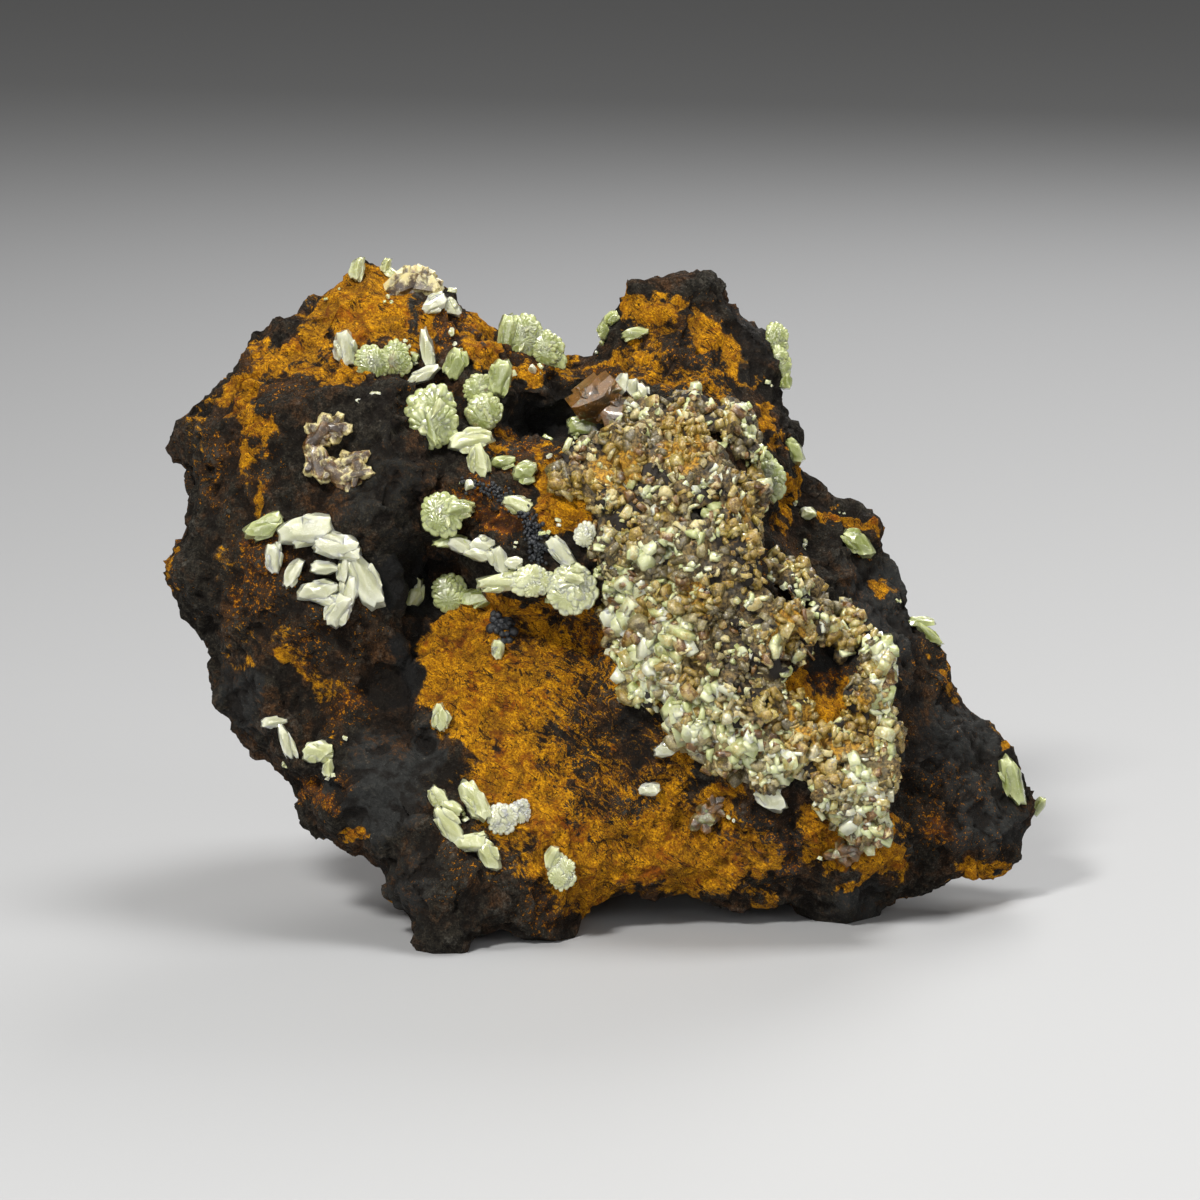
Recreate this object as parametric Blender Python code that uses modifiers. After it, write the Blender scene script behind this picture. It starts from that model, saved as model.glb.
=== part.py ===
"""Cerussite on limonite: a cream crystal crust and scattered crystals on a rusty ironstone matrix.

The rock is laid out as it is seen from in front. A place on it is a pixel of the reference picture,
across and down, with how far that place stands forward of the rock's middle, in millimetres.
+X is to the right, +Y away from the front, +Z up. The rock stands on four worn feet at z = 0.
"""

import math
import random
from collections import namedtuple

import bmesh
import bpy
from mathutils import Matrix, Vector, noise
from mathutils.bvhtree import BVHTree
from mathutils.geometry import delaunay_2d_cdt

MM = 0.001
PIXEL = 0.1 * MM                    # real size of one picture pixel, which makes the specimen 90 mm wide
PICTURE_MIDDLE = Vector((600, 600))
SIGHT_DISTANCE = 600 * MM
SIGHT_DIP = math.radians(10)        # the specimen is seen from this much above the level
SIGHT_MIDDLE = Vector((-0.6, -5.2, 31.4)) * MM   # what the middle of the picture falls on

RIGHTWARD = Vector((1, 0, 0))
UPWARD = Vector((0, math.sin(SIGHT_DIP), math.cos(SIGHT_DIP)))
FORWARD = Vector((0, -math.cos(SIGHT_DIP), math.sin(SIGHT_DIP)))
EYE = SIGHT_MIDDLE + FORWARD * SIGHT_DISTANCE

ROCK_VOXEL = 0.95 * MM
ROCK_TRIANGLES = 2700
SWELL_ACROSS, SWELL_HEIGHT = 9, 1.0              # the rock's relief, in millimetres: broad swells,
CHIP_ACROSS, CHIP_SLOPE, CHIP_DEPTH = 5.5, 1.6, 0.4   # chipped cells with grooves between them,
GRAIN_ACROSS, GRAIN_HEIGHT = 2.1, 0.45           # and a coarse grain
SEAT_SEARCH = range(-20, 30)        # millimetres along a sight line that only passes the rock
GAP = 0.2 * MM                      # between a crystal and what it grows on
ROOT = 1.3 * MM                     # how much deeper a crystal reaches than it is thick
GROUP_STEP = 0.6 * MM               # the most that a crystal stands behind its neighbour in a group
TABLET_CHAMFER = 0.17               # of a tablet's width
ROSETTE_TEETH = 6
ROSETTE_RADIUS = 0.58               # of a rosette's width, before its teeth are cut
ROSETTE_TOOTH, ROSETTE_NOTCH = 1.04, 0.86        # shares of that radius
FLAT_ANGLE = math.radians(9)        # facets closer than this are merged into one

# The rock's outline, clockwise from its left peak: across, down, millimetres forward.
OUTLINE = [
    (362, 254, -6), (378, 264, -7), (420, 273, -8), (441, 281, -8), (466, 302, -8), (494, 324, -8),
    (530, 340, -8), (563, 353, -9), (592, 355, -9), (601, 335, -9), (616, 308, -9), (620, 280, -9),
    (630, 273, -9), (655, 270, -10), (673, 263, -10), (702, 266, -10), (727, 286, -11), (732, 304, -11),
    (749, 319, -11), (770, 326, -11), (785, 352, -10), (788, 400, -10), (799, 420, -9), (806, 448, -9),
    (820, 488, -8), (860, 510, -8), (881, 529, -8), (893, 558, -8), (909, 590, -8), (909, 612, -8),
    (935, 640, -8), (951, 656, -8), (961, 688, -8), (996, 728, -8), (1022, 744, -8), (1026, 770, -8),
    (1044, 798, -8), (1040, 818, -8), (1028, 832, -8), (1029, 860, -7), (1010, 872, -6), (1002, 885, -5),
    (982, 887, -4), (958, 878, -4), (938, 888, -3), (904, 896, -2.5), (882, 911, -2), (872, 938, -1),
    (846, 938, 0), (805, 918, 1), (769, 906, 2), (752, 919, 2), (735, 914, 2), (700, 895, 3),
    (675, 894, 4), (648, 900, 4.5), (604, 904, 5.5), (585, 920, 6.5), (573, 938, 7), (553, 944, 8),
    (522, 940, 10), (503, 934, 11), (480, 945, 12.5), (458, 966, 14), (428, 964, 13.5), (414, 938, 12),
    (388, 897, 9), (370, 868, 7.5), (348, 848, 6), (318, 838, 4), (297, 814, 2), (286, 790, 1.5),
    (258, 761, 0.5), (226, 721, -0.5), (208, 696, -1), (207, 667, -1), (214, 657, -2), (190, 633, -1),
    (163, 610, 0), (153, 572, 1), (156, 556, 1), (176, 537, 0), (174, 521, 0), (182, 495, -1),
    (178, 460, -2), (170, 442, -2), (173, 428, -2), (205, 396, -3), (242, 356, -4), (280, 313, -5),
    (312, 289, -6), (338, 277, -6),
]

# Heights of the front, region by region, in the same three numbers.
LEFT_PEAK = [
    (360, 272, -4), (335, 300, -1), (382, 300, -3), (402, 335, -1), (300, 325, -1), (262, 356, -1),
    (285, 360, 1), (340, 345, 0.5), (385, 350, 1), (230, 385, 0), (272, 382, 3), (330, 380, 4.5),
    (398, 380, 4.5),
]
DARK_BLOCK = [
    (268, 394, 7), (330, 391, 8.5), (398, 391, 8.5), (305, 440, 9), (268, 455, 8.5), (345, 418, 9),
    (352, 447, 8), (392, 420, 10.5), (402, 470, 12), (365, 505, 12), (428, 455, 8.5), (415, 520, 10.5),
    (310, 505, 9.5), (258, 505, 9), (255, 560, 9.5), (300, 560, 11), (352, 560, 11.5), (398, 560, 9.5),
]
LEFT_FLANK = [
    (210, 425, 3), (235, 430, 5.5), (200, 480, 3), (228, 510, 6), (195, 530, 3.5), (178, 572, 5),
    (215, 570, 7), (200, 612, 5.5), (232, 640, 7),
]
LOWER_LEFT = [
    (290, 610, 11), (345, 625, 11), (395, 615, 9), (262, 640, 9), (300, 665, 10), (355, 690, 9.5),
    (395, 680, 7), (222, 663, 3.5), (256, 690, 7.5), (272, 722, 9), (290, 770, 10), (305, 720, 8.5),
    (320, 820, 11.5), (345, 770, 12), (385, 790, 14), (402, 725, 9.5), (368, 850, 13), (410, 882, 15.5),
    (425, 790, 13), (432, 740, 9), (428, 850, 15.5), (436, 925, 16.5), (470, 885, 16.5), (462, 938, 15.5),
    (500, 905, 14.5),
]
VALLEY = [(428, 556, 0), (420, 590, 0.5), (456, 572, 0), (412, 632, 3), (410, 665, 5)]
OCHRE_FACE = [
    (438, 625, 5), (430, 665, 7), (442, 700, 8.5), (500, 618, 4.5), (495, 690, 9), (560, 622, 4.5),
    (555, 690, 9), (605, 655, 6), (600, 730, 9.5), (650, 725, 9), (645, 790, 10), (560, 790, 12.5),
    (480, 770, 12), (500, 830, 14), (560, 860, 13), (530, 915, 12.5), (610, 870, 10), (660, 875, 8.5),
    (705, 860, 7.5), (695, 800, 9.5), (745, 840, 9), (742, 890, 5.5),
]
UPPER_LEDGE = [
    (425, 350, 0), (420, 385, 4), (455, 335, 0), (478, 350, 1), (462, 385, 2.5), (492, 375, 1),
    (500, 410, 2.5), (450, 430, 6.5), (478, 450, 7.5), (448, 480, 8.5), (505, 345, -4), (540, 360, -3),
    (520, 392, -0.5), (560, 385, -3), (545, 402, -1.5),
]
VUG = [(515, 432, -3), (560, 430, -9), (590, 412, -6), (540, 422, -8), (602, 432, -1), (512, 450, 4)]
MIDDLE_LEDGE = [
    (480, 495, 10.5), (468, 520, 10), (515, 480, 8), (500, 530, 12), (535, 560, 13.5), (470, 548, 8),
    (490, 572, 11), (530, 586, 12.5), (575, 596, 12.5), (612, 600, 11.5), (540, 455, 6.5), (575, 460, 8.5),
    (550, 500, 12), (590, 500, 11), (575, 545, 12.5), (610, 545, 12),
]
HORN = [
    (640, 292, -6.5), (632, 335, -6), (690, 310, -6), (722, 352, -5.5), (662, 350, -3.5), (600, 372, -6),
    (640, 385, -2.5), (700, 385, -2), (735, 385, -4), (765, 370, -7.5), (738, 330, -8), (770, 410, -5),
]
MOUND = [
    (625, 440, 8), (650, 412, 5.5), (700, 402, 5), (738, 412, 4.5), (690, 450, 11), (735, 455, 9.5),
    (645, 490, 12), (700, 500, 14), (742, 495, 11.5), (650, 550, 13.5), (752, 545, 13), (700, 575, 15.5),
    (640, 620, 12), (625, 585, 12), (762, 590, 13.5), (700, 640, 15.5), (650, 668, 11.5), (750, 650, 15.5),
    (690, 710, 13.5), (750, 710, 15), (700, 755, 12), (752, 770, 13.5), (790, 625, 12.5), (800, 690, 12.5),
    (800, 745, 13), (835, 640, 7), (845, 690, 9.5), (865, 645, 9), (884, 690, 10), (888, 730, 10.5),
    (845, 750, 11), (880, 780, 12), (835, 800, 12.5), (872, 835, 10.5), (800, 800, 12.5), (820, 605, 9),
]
LOWER_RIGHT = [
    (790, 850, 9.5), (835, 845, 9), (842, 895, 5.5), (895, 862, 5), (905, 835, 5), (800, 890, 6),
]
RIGHT_FLANK = [
    (775, 465, 0), (778, 520, 0), (785, 560, 1.5), (808, 540, -3), (815, 575, 2), (842, 540, -3),
    (862, 528, -5), (845, 590, 0), (875, 590, -4), (885, 640, -1), (905, 690, -2), (905, 750, -1),
    (905, 800, -1.5), (935, 680, -4), (952, 760, 0.5), (945, 830, 1), (990, 770, -3.5), (1000, 830, -3),
    (960, 860, -1.5), (918, 860, 0),
]
FRONT = (LEFT_PEAK + DARK_BLOCK + LEFT_FLANK + LOWER_LEFT + VALLEY + OCHRE_FACE + UPPER_LEDGE + VUG
         + MIDDLE_LEDGE + HORN + MOUND + LOWER_RIGHT + RIGHT_FLANK)

# Heights of the broken back, which ends below in the two hind feet.
BACK = [
    (300, 350, -15), (380, 310, -14), (230, 450, -12), (215, 570, -13), (300, 480, -22), (280, 650, -15),
    (370, 420, -24), (380, 600, -27), (360, 740, -16), (430, 350, -18), (470, 480, -27), (480, 680, -30),
    (450, 800, -18), (540, 420, -20), (560, 560, -31), (590, 720, -30), (650, 340, -17), (690, 300, -15),
    (650, 450, -24), (740, 400, -20), (680, 620, -33), (690, 790, -27), (780, 520, -22), (790, 680, -28),
    (860, 620, -19), (880, 760, -22), (960, 740, -15), (960, 830, -14), (860, 860, -14), (640, 860, -18),
]
HIND_FEET = [
    (508, 905, -21), (545, 906, -20), (525, 900, -24), (525, 912, -16), (738, 890, -25), (788, 896, -25),
    (768, 892, -29), (762, 896, -19),
]
RIM_INSET = 8                       # pixels in from the outline, where the blunt rim turns
RIM_FRONT = 2.2                     # millimetres the rim stands forward there
RIM_BACK = 3.6                      # and back

# The crystal crust over the mound, clockwise, across and down.
CRUST_EDGE = [
    (560, 442), (610, 436), (640, 408), (690, 392), (748, 402), (758, 470), (766, 556), (816, 592),
    (876, 622), (900, 690), (896, 740), (884, 846), (836, 818), (796, 772), (748, 792), (690, 762),
    (668, 715), (636, 688), (612, 640), (606, 612), (590, 560), (600, 500), (560, 475),
]
CRUST_BARE = ((824, 684), 42)       # the rusty hollow inside the crust, with its radius
CRUST_SPACING = 27                  # pixels between its crystals
CRUST_JITTER = 7                    # pixels that each stands off its place, at most
CRUST_VOXEL = 0.42 * MM
CRUST_TRIANGLES = 900
CRUST_CRYSTAL = 2.3 * MM
CRUST_SIZES = (0.85, 1.3)           # of that length, from the smallest crystal to the largest
CRUST_WANDER = 0.55                 # how far their tips lean about
PAD_RADIUS = 1.05 * CRUST_CRYSTAL   # the pad that joins a crystal to its neighbours
PAD_FLATNESS = 0.45
STUB_FOOT, STUB_TIP, STUB_LENGTH, STUB_RISE = 0.55, 0.42, 1.15, 0.35   # of a crystal's size

Crystal = namedtuple("Crystal", "habit across down length width turn lean lift")


def tablet(across, down, length, width, turn=0, lean=0, lift=0.35):
    """A six-sided tablet with chamfered edges, its long axis turned anticlockwise from level."""
    angles = math.radians(turn), math.radians(lean)
    return Crystal("tablet", across, down, length * MM, width * MM, *angles, lift)


def rosette(across, down, length, width, turn=0, lean=0, lift=0.3):
    """A flat disc of intergrown twins with a toothed edge."""
    angles = math.radians(turn), math.radians(lean)
    return Crystal("rosette", across, down, length * MM, width * MM, *angles, lift)


# Single crystals and intergrown groups. Lengths and widths are in millimetres, angles in degrees.
CRYSTALS = {
    "peak_crystal": [tablet(357, 268, 2.4, 1.7, 70)],
    "skyline_chips": [tablet(385, 261, 1.6, 1.1, 60), tablet(391, 270, 1.7, 1.2, -20)],
    "upper_left_barrel": [tablet(345, 349, 3.5, 2.4, 108)],
    "upper_left_rosette": [rosette(372, 362, 3.9, 3.4), rosette(396, 359, 3.8, 3.0, 100)],
    "brown_skyline_plate": [tablet(405, 285, 4.2, 3.0, 25), tablet(424, 286, 3.8, 3.2, -20)],
    "white_upper_crystals": [tablet(434, 304, 2.7, 1.9, 35), tablet(450, 307, 2.4, 1.6, -40)],
    "upper_gully_plate": [tablet(427, 350, 4.2, 1.5, 100), tablet(423, 375, 3.5, 1.6, 28)],
    "upper_gully_barrel": [tablet(455, 364, 3.2, 2.3, 80)],
    "great_rosette": [rosette(431, 416, 6.2, 5.6, 80), tablet(432, 428, 3.6, 1.5, 112, 20, 0.9)],
    "stacked_rosettes": [
        rosette(479, 388, 3.4, 2.8, 20), rosette(484, 412, 4.2, 3.5, 60), tablet(500, 377, 3.4, 2.4, 80),
    ],
    "hat_crystal": [tablet(470, 440, 4.2, 2.2, 8), tablet(479, 461, 3.5, 2.0, 100)],
    "skyline_rosette": [
        tablet(506, 338, 4.6, 2.0, 85), rosette(527, 336, 4.8, 4.0, 110), rosette(548, 350, 4.6, 3.2, 130),
    ],
    "horn_foot_chips": [tablet(604, 330, 1.9, 1.5, 80), tablet(611, 318, 1.8, 1.4, 40)],
    "horn_lens": [tablet(635, 333, 2.7, 1.4, 8)],
    "vug_glints": [
        tablet(622, 384, 2.2, 1.6, 80), tablet(633, 388, 1.8, 1.6, 100), tablet(644, 395, 2.5, 1.6, 105),
    ],
    "amber_vug_crystal": [tablet(600, 405, 5.0, 3.6, 35, 20), tablet(622, 412, 4.2, 3.0, 20)],
    "green_vug_crystal": [tablet(582, 427, 2.8, 2.3, 10)],
    "vug_lip_crystal": [tablet(525, 472, 2.5, 2.1, 20)],
    "shaded_lens": [tablet(502, 462, 2.6, 1.5, 10)],
    "ledge_top_lens": [tablet(517, 504, 2.9, 1.8, -15)],
    "ledge_rosette": [
        rosette(442, 515, 4.9, 3.9, 95), tablet(459, 508, 2.6, 2.0, 0, 0, 0.8),
        tablet(450, 541, 3.4, 1.4, 5),
    ],
    "ledge_edge_whites": [
        tablet(462, 546, 3.0, 1.7, -20), tablet(482, 545, 2.6, 1.9, 10),
        tablet(480, 555, 3.2, 1.4, -10), tablet(500, 561, 2.7, 1.9, 115), tablet(513, 563, 1.9, 1.4, 10),
    ],
    "hollow_rosette": [rosette(450, 593, 4.2, 3.5, 100), tablet(477, 597, 3.5, 2.0, 12, 0, 0.5)],
    "shelf_rosette": [tablet(502, 582, 4.8, 2.0, 5), rosette(532, 582, 4.4, 3.2, 0)],
    "toothed_rosette": [rosette(572, 590, 5.3, 4.9, 40), tablet(574, 577, 1.9, 1.7, 5, 0, 1.1)],
    "leaning_lens": [tablet(561, 552, 3.4, 1.9, 135)],
    "small_mound_rosette": [rosette(585, 534, 2.8, 2.1, 80)],
    "face_white_crystal": [tablet(498, 650, 2.0, 1.5, 95)],
    "face_yellow_lens": [tablet(441, 718, 2.8, 1.8, 96)],
    "left_band_barrel": [tablet(263, 528, 4.0, 2.2, 20)],
    "left_band_great_tablets": [tablet(304, 530, 5.3, 3.2, 14), tablet(335, 546, 4.4, 2.7, -4)],
    "left_band_white_1": [tablet(273, 559, 2.9, 1.8, 98)],
    "left_band_white_2": [tablet(292, 573, 3.1, 1.7, 58)],
    "left_band_white_3": [tablet(324, 568, 2.7, 1.5, 0)],
    "left_band_seed": [
        tablet(365, 577, 6.3, 2.9, 118, 10), tablet(348, 593, 3.4, 2.0, 84), tablet(343, 570, 2.6, 1.3, 88),
        tablet(337, 611, 3.3, 2.9, 70), tablet(317, 592, 4.0, 2.4, 10),
    ],
    "left_band_wedge": [tablet(405, 600, 4.3, 2.1, 68)],
    "brown_reticulated_twin": [
        tablet(318, 436, 4.2, 2.0, 55), tablet(333, 428, 2.6, 1.8, 5), tablet(317, 462, 3.8, 2.4, -60),
        tablet(336, 474, 4.2, 2.0, -35), tablet(358, 474, 2.8, 1.6, 20), tablet(352, 461, 3.0, 1.6, 22),
    ],
    "left_slab_crystals": [tablet(274, 722, 2.6, 1.3, 8), tablet(286, 742, 3.7, 1.4, 108)],
    "left_slab_plate": [tablet(317, 752, 3.0, 2.4, 10), tablet(328, 768, 1.8, 1.3, 80)],
    "foot_chips": [tablet(439, 798, 2.4, 1.8, 130), tablet(452, 808, 2.1, 1.6, 150)],
    "foot_chain": [
        tablet(448, 826, 4.2, 2.1, 128), tablet(469, 843, 3.2, 2.0, 10), tablet(488, 855, 3.6, 2.1, 125),
    ],
    "foot_plate": [tablet(478, 800, 4.3, 2.3, 122, 15)],
    "foot_grey_rosette": [rosette(503, 819, 3.5, 3.0, 70), rosette(521, 812, 2.7, 2.0, 95)],
    "foot_low_rosette": [tablet(551, 858, 2.2, 1.6, 75), rosette(561, 873, 3.6, 2.8, 100)],
    "slope_lens": [tablet(669, 749, 3.0, 1.7, 14)],
    "slope_small_lens": [tablet(649, 790, 2.2, 1.5, 12)],
    "slope_plate": [tablet(704, 819, 2.4, 1.8, 20), tablet(715, 809, 1.9, 1.3, 50)],
    "bright_lens": [tablet(770, 797, 3.8, 2.7, 135)],
    "low_ledge_pair": [tablet(842, 853, 2.6, 1.4, 10), tablet(853, 848, 1.3, 1.2, 0)],
    "right_skyline_rosette": [
        rosette(777, 338, 3.4, 2.3, 100), rosette(782, 362, 3.6, 1.9, 105), tablet(787, 381, 1.6, 1.3, 90),
    ],
    "right_green_lens": [tablet(794, 451, 2.8, 2.0, 135)],
    "serrated_rosette": [rosette(769, 480, 4.8, 3.3, 95)],
    "right_round_crystal": [tablet(808, 512, 1.6, 1.5, 0)],
    "right_half_lens": [tablet(860, 543, 3.6, 2.2, 140)],
    "right_blades": [tablet(920, 622, 3.0, 1.3, 0), tablet(930, 635, 3.2, 1.3, 140)],
    "right_tip_lens": [tablet(1014, 782, 4.9, 2.1, 112)],
    "right_tip_chip": [tablet(1041, 806, 2.0, 1.3, 70)],
}
THICKNESS = {"tablet": 0.75, "rosette": 0.42}   # of a crystal's width


def place(across, down, forward=0):
    """The point seen at a picture pixel, that many millimetres forward of the rock's middle."""
    forward *= MM
    spread = PIXEL * (1 - forward / SIGHT_DISTANCE)
    offset = (Vector((across, down)) - PICTURE_MIDDLE) * spread
    return SIGHT_MIDDLE + RIGHTWARD * offset.x - UPWARD * offset.y + FORWARD * forward


def material(name, colour, roughness):
    made = bpy.data.materials.new(name)
    made.use_nodes = True
    shader = made.node_tree.nodes["Principled BSDF"]
    shader.inputs["Base Color"].default_value = (*colour, 1)
    shader.inputs["Roughness"].default_value = roughness
    shader.inputs["Metallic"].default_value = 0
    return made


def add_object(name, mesh_or_shape, collection, helper=False):
    """An object in the collection, from a mesh or from a bmesh, which is freed."""
    mesh = mesh_or_shape
    if isinstance(mesh_or_shape, bmesh.types.BMesh):
        mesh = bpy.data.meshes.new(name)
        mesh_or_shape.to_mesh(mesh)
        mesh_or_shape.free()
    obj = bpy.data.objects.new(name, mesh)
    collection.objects.link(obj)
    if helper:
        obj.hide_render = True
        obj.display_type = "WIRE"
    return obj


def apply_modifiers(obj):
    """Replaces the object's mesh by what its modifiers make of it."""
    evaluated = obj.evaluated_get(bpy.context.evaluated_depsgraph_get())
    mesh = bpy.data.meshes.new_from_object(evaluated)
    obj.modifiers.clear()
    obj.data = mesh


def boolean(obj, other, operation):
    step = obj.modifiers.new(operation.lower(), "BOOLEAN")
    step.operation = operation
    step.object = other
    apply_modifiers(obj)


def remesh(obj, voxel):
    step = obj.modifiers.new("skin", "REMESH")
    step.mode = "VOXEL"
    step.voxel_size = voxel
    apply_modifiers(obj)


def decimate(obj, triangles):
    obj.data.calc_loop_triangles()
    step = obj.modifiers.new("thin out", "DECIMATE")
    step.ratio = min(1, triangles / len(obj.data.loop_triangles))
    step.use_collapse_triangulate = True
    apply_modifiers(obj)


def keep_largest_piece(obj):
    """Drops the crumbs that a cut leaves beside the main body."""
    shape = bmesh.new()
    shape.from_mesh(obj.data)
    waiting, pieces = set(shape.verts), []
    while waiting:
        piece, edge = set(), [waiting.pop()]
        while edge:
            vert = edge.pop()
            piece.add(vert)
            near = {link.other_vert(vert) for link in vert.link_edges} & waiting
            waiting -= near
            edge.extend(near)
        pieces.append(piece)
    pieces.sort(key=len)
    crumbs = [vert for piece in pieces[:-1] for vert in piece]
    bmesh.ops.delete(shape, geom=crumbs, context="VERTS")
    shape.to_mesh(obj.data)
    shape.free()


def merge_flat_facets(obj):
    """Joins neighbouring triangles that lie almost in one plane, mostly where a cut left slivers."""
    shape = bmesh.new()
    shape.from_mesh(obj.data)
    bmesh.ops.dissolve_limit(shape, angle_limit=FLAT_ANGLE, verts=shape.verts[:], edges=shape.edges[:])
    bmesh.ops.triangulate(shape, faces=shape.faces[:])
    shape.to_mesh(obj.data)
    shape.free()


def grown(obj, distance, collection):
    """A hidden copy of the object, swollen by that distance, to cut its neighbours with."""
    copy = add_object(obj.name + "_clearance", obj.data.copy(), collection, helper=True)
    shape = bmesh.new()
    shape.from_mesh(copy.data)
    shape.normal_update()
    moves = [(vert, vert.normal * distance) for vert in shape.verts]
    for vert, move in moves:
        vert.co += move
    shape.to_mesh(copy.data)
    shape.free()
    return copy


def inward(points, index):
    """The direction, in pixels, from an outline point towards the inside of the clockwise outline."""
    before = Vector(points[index - 1][:2])
    after = Vector(points[(index + 1) % len(points)][:2])
    along = (after - before).normalized()
    return Vector((-along.y, along.x))


def rim_ring(forward):
    ring = []
    for index, (across, down, depth) in enumerate(OUTLINE):
        step = inward(OUTLINE, index) * RIM_INSET
        ring.append((across + step.x, down + step.y, depth + forward))
    return ring


def add_sheet(shape, rim, heights, facing_front):
    """Fills the outline with flat triangles through the given heights: one side of the rock."""
    flat = [Vector((across, down)) for across, down, _ in OUTLINE + heights]
    outline_face = [list(range(len(OUTLINE)))]
    corners, _, triangles, sources, _, _ = delaunay_2d_cdt(flat, [], outline_face, 1, 0.01)
    verts = []
    for corner, source in zip(corners, sources):
        first = source[0]
        if first < len(OUTLINE):
            verts.append(rim[first])
        else:
            verts.append(shape.verts.new(place(corner.x, corner.y, heights[first - len(OUTLINE)][2])))
    for triangle in triangles:
        order = triangle if facing_front else triangle[::-1]
        shape.faces.new([verts[index] for index in order])


def roughen(obj):
    """Broken-stone relief, along each point's normal."""
    shape = bmesh.new()
    shape.from_mesh(obj.data)
    shape.normal_update()
    moves = []
    for vert in shape.verts:
        spot = vert.co / MM
        swell = noise.noise(spot / SWELL_ACROSS) * SWELL_HEIGHT
        distances, _ = noise.voronoi(spot / CHIP_ACROSS)
        chip = min(distances[1] - distances[0], 0.5) * CHIP_SLOPE - CHIP_DEPTH
        grain = noise.noise(spot / GRAIN_ACROSS + Vector((7, 3, 1))) * GRAIN_HEIGHT
        moves.append((vert, vert.normal * (swell + chip + grain) * MM))
    for vert, move in moves:
        vert.co += move
    shape.to_mesh(obj.data)
    shape.free()


def flatten_feet(obj):
    """Cuts off what reaches below z = 0 and closes each foot with a flat face."""
    shape = bmesh.new()
    shape.from_mesh(obj.data)
    everything = shape.verts[:] + shape.edges[:] + shape.faces[:]
    bmesh.ops.bisect_plane(shape, geom=everything, plane_co=(0, 0, 0), plane_no=(0, 0, 1), clear_inner=True)
    open_edges = [edge for edge in shape.edges if edge.is_boundary]
    bmesh.ops.holes_fill(shape, edges=open_edges)
    bmesh.ops.triangulate(shape, faces=shape.faces[:])
    bmesh.ops.recalc_face_normals(shape, faces=shape.faces[:])
    shape.to_mesh(obj.data)
    shape.free()


def build_matrix(collection):
    """The limonite matrix: a cage of flat facets, skinned, roughened and cut level under its feet."""
    shape = bmesh.new()
    rim = [shape.verts.new(place(*point)) for point in OUTLINE]
    add_sheet(shape, rim, rim_ring(RIM_FRONT) + FRONT, True)
    add_sheet(shape, rim, rim_ring(-RIM_BACK) + BACK + HIND_FEET, False)
    bmesh.ops.recalc_face_normals(shape, faces=shape.faces[:])
    rock = add_object("matrix", shape, collection)
    remesh(rock, ROCK_VOXEL)
    roughen(rock)
    decimate(rock, ROCK_TRIANGLES)
    flatten_feet(rock)
    keep_largest_piece(rock)
    return rock


def tree_of(obj):
    points = [vert.co for vert in obj.data.vertices]
    return BVHTree.FromPolygons(points, [face.vertices for face in obj.data.polygons])


def seat(tree, across, down):
    """Where the sight line through a pixel meets the rock, or where it passes nearest to it."""
    line = (place(across, down) - EYE).normalized()
    hit = tree.ray_cast(EYE, line)[0]
    if hit is not None:
        return hit
    steps = [EYE + line * (SIGHT_DISTANCE + offset * MM) for offset in SEAT_SEARCH]
    return min(steps, key=lambda point: tree.find_nearest(point)[3])


def tablet_shape():
    """A hexagonal tablet one unit across, with chamfered edges, flat along its own Z."""
    shape = bmesh.new()
    bmesh.ops.create_cone(shape, cap_ends=True, segments=6, radius1=0.5, radius2=0.5, depth=1)
    front = [edge for edge in shape.edges if min(edge.verts[0].co.z, edge.verts[1].co.z) > 0]
    bmesh.ops.bevel(shape, geom=front, offset=TABLET_CHAMFER, segments=1, affect="EDGES", profile=0.5)
    bmesh.ops.rotate(shape, verts=shape.verts, matrix=Matrix.Rotation(math.pi / 2, 3, "Z"))
    return shape


def rosette_shape():
    """A flat gem about one unit across whose edge is cut into teeth, flat along its own Z."""
    shape = bmesh.new()
    bmesh.ops.create_uvsphere(shape, u_segments=2 * ROSETTE_TEETH, v_segments=3, radius=ROSETTE_RADIUS)
    for vert in shape.verts:
        reach = math.hypot(vert.co.x, vert.co.y)
        if reach > 0.1:
            turn = round(math.atan2(vert.co.y, vert.co.x) / (math.pi / ROSETTE_TEETH))
            share = ROSETTE_NOTCH if turn % 2 else ROSETTE_TOOTH
            vert.co.x *= share
            vert.co.y *= share
    return shape


def group_seats(crystals, tree):
    """Seats for a group, with those in dips brought forward so that neighbours stay joined."""
    seats = [seat(tree, crystal.across, crystal.down) for crystal in crystals]
    heights = [(spot - SIGHT_MIDDLE).dot(FORWARD) for spot in seats]
    for index, spot in enumerate(seats):
        reach = [height - GROUP_STEP * abs(index - other) for other, height in enumerate(heights)]
        seats[index] = spot + FORWARD * (max(reach) - heights[index])
    return seats


def crystal_shape(crystal, spot):
    """One crystal at its real size, rooted at a spot and facing the way it is seen."""
    shape = tablet_shape() if crystal.habit == "tablet" else rosette_shape()
    thickness = THICKNESS[crystal.habit] * crystal.width
    size = Matrix.Diagonal((crystal.length, crystal.width, thickness + ROOT, 1))
    facing = Matrix((RIGHTWARD, UPWARD, FORWARD)).transposed().to_4x4()
    turned = Matrix.Rotation(crystal.turn, 4, "Z") @ Matrix.Rotation(crystal.lean, 4, "X")
    middle = spot + FORWARD * (thickness * crystal.lift - ROOT / 2)
    shape.transform(Matrix.Translation(middle) @ facing @ turned @ size)
    return shape


def inside(points, spot):
    """Whether a pixel lies within a closed line of pixels."""
    found = False
    for (x1, y1), (x2, y2) in zip(points, points[1:] + points[:1]):
        if (y1 > spot.y) != (y2 > spot.y) and spot.x < x1 + (spot.y - y1) * (x2 - x1) / (y2 - y1):
            found = not found
    return found


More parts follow.
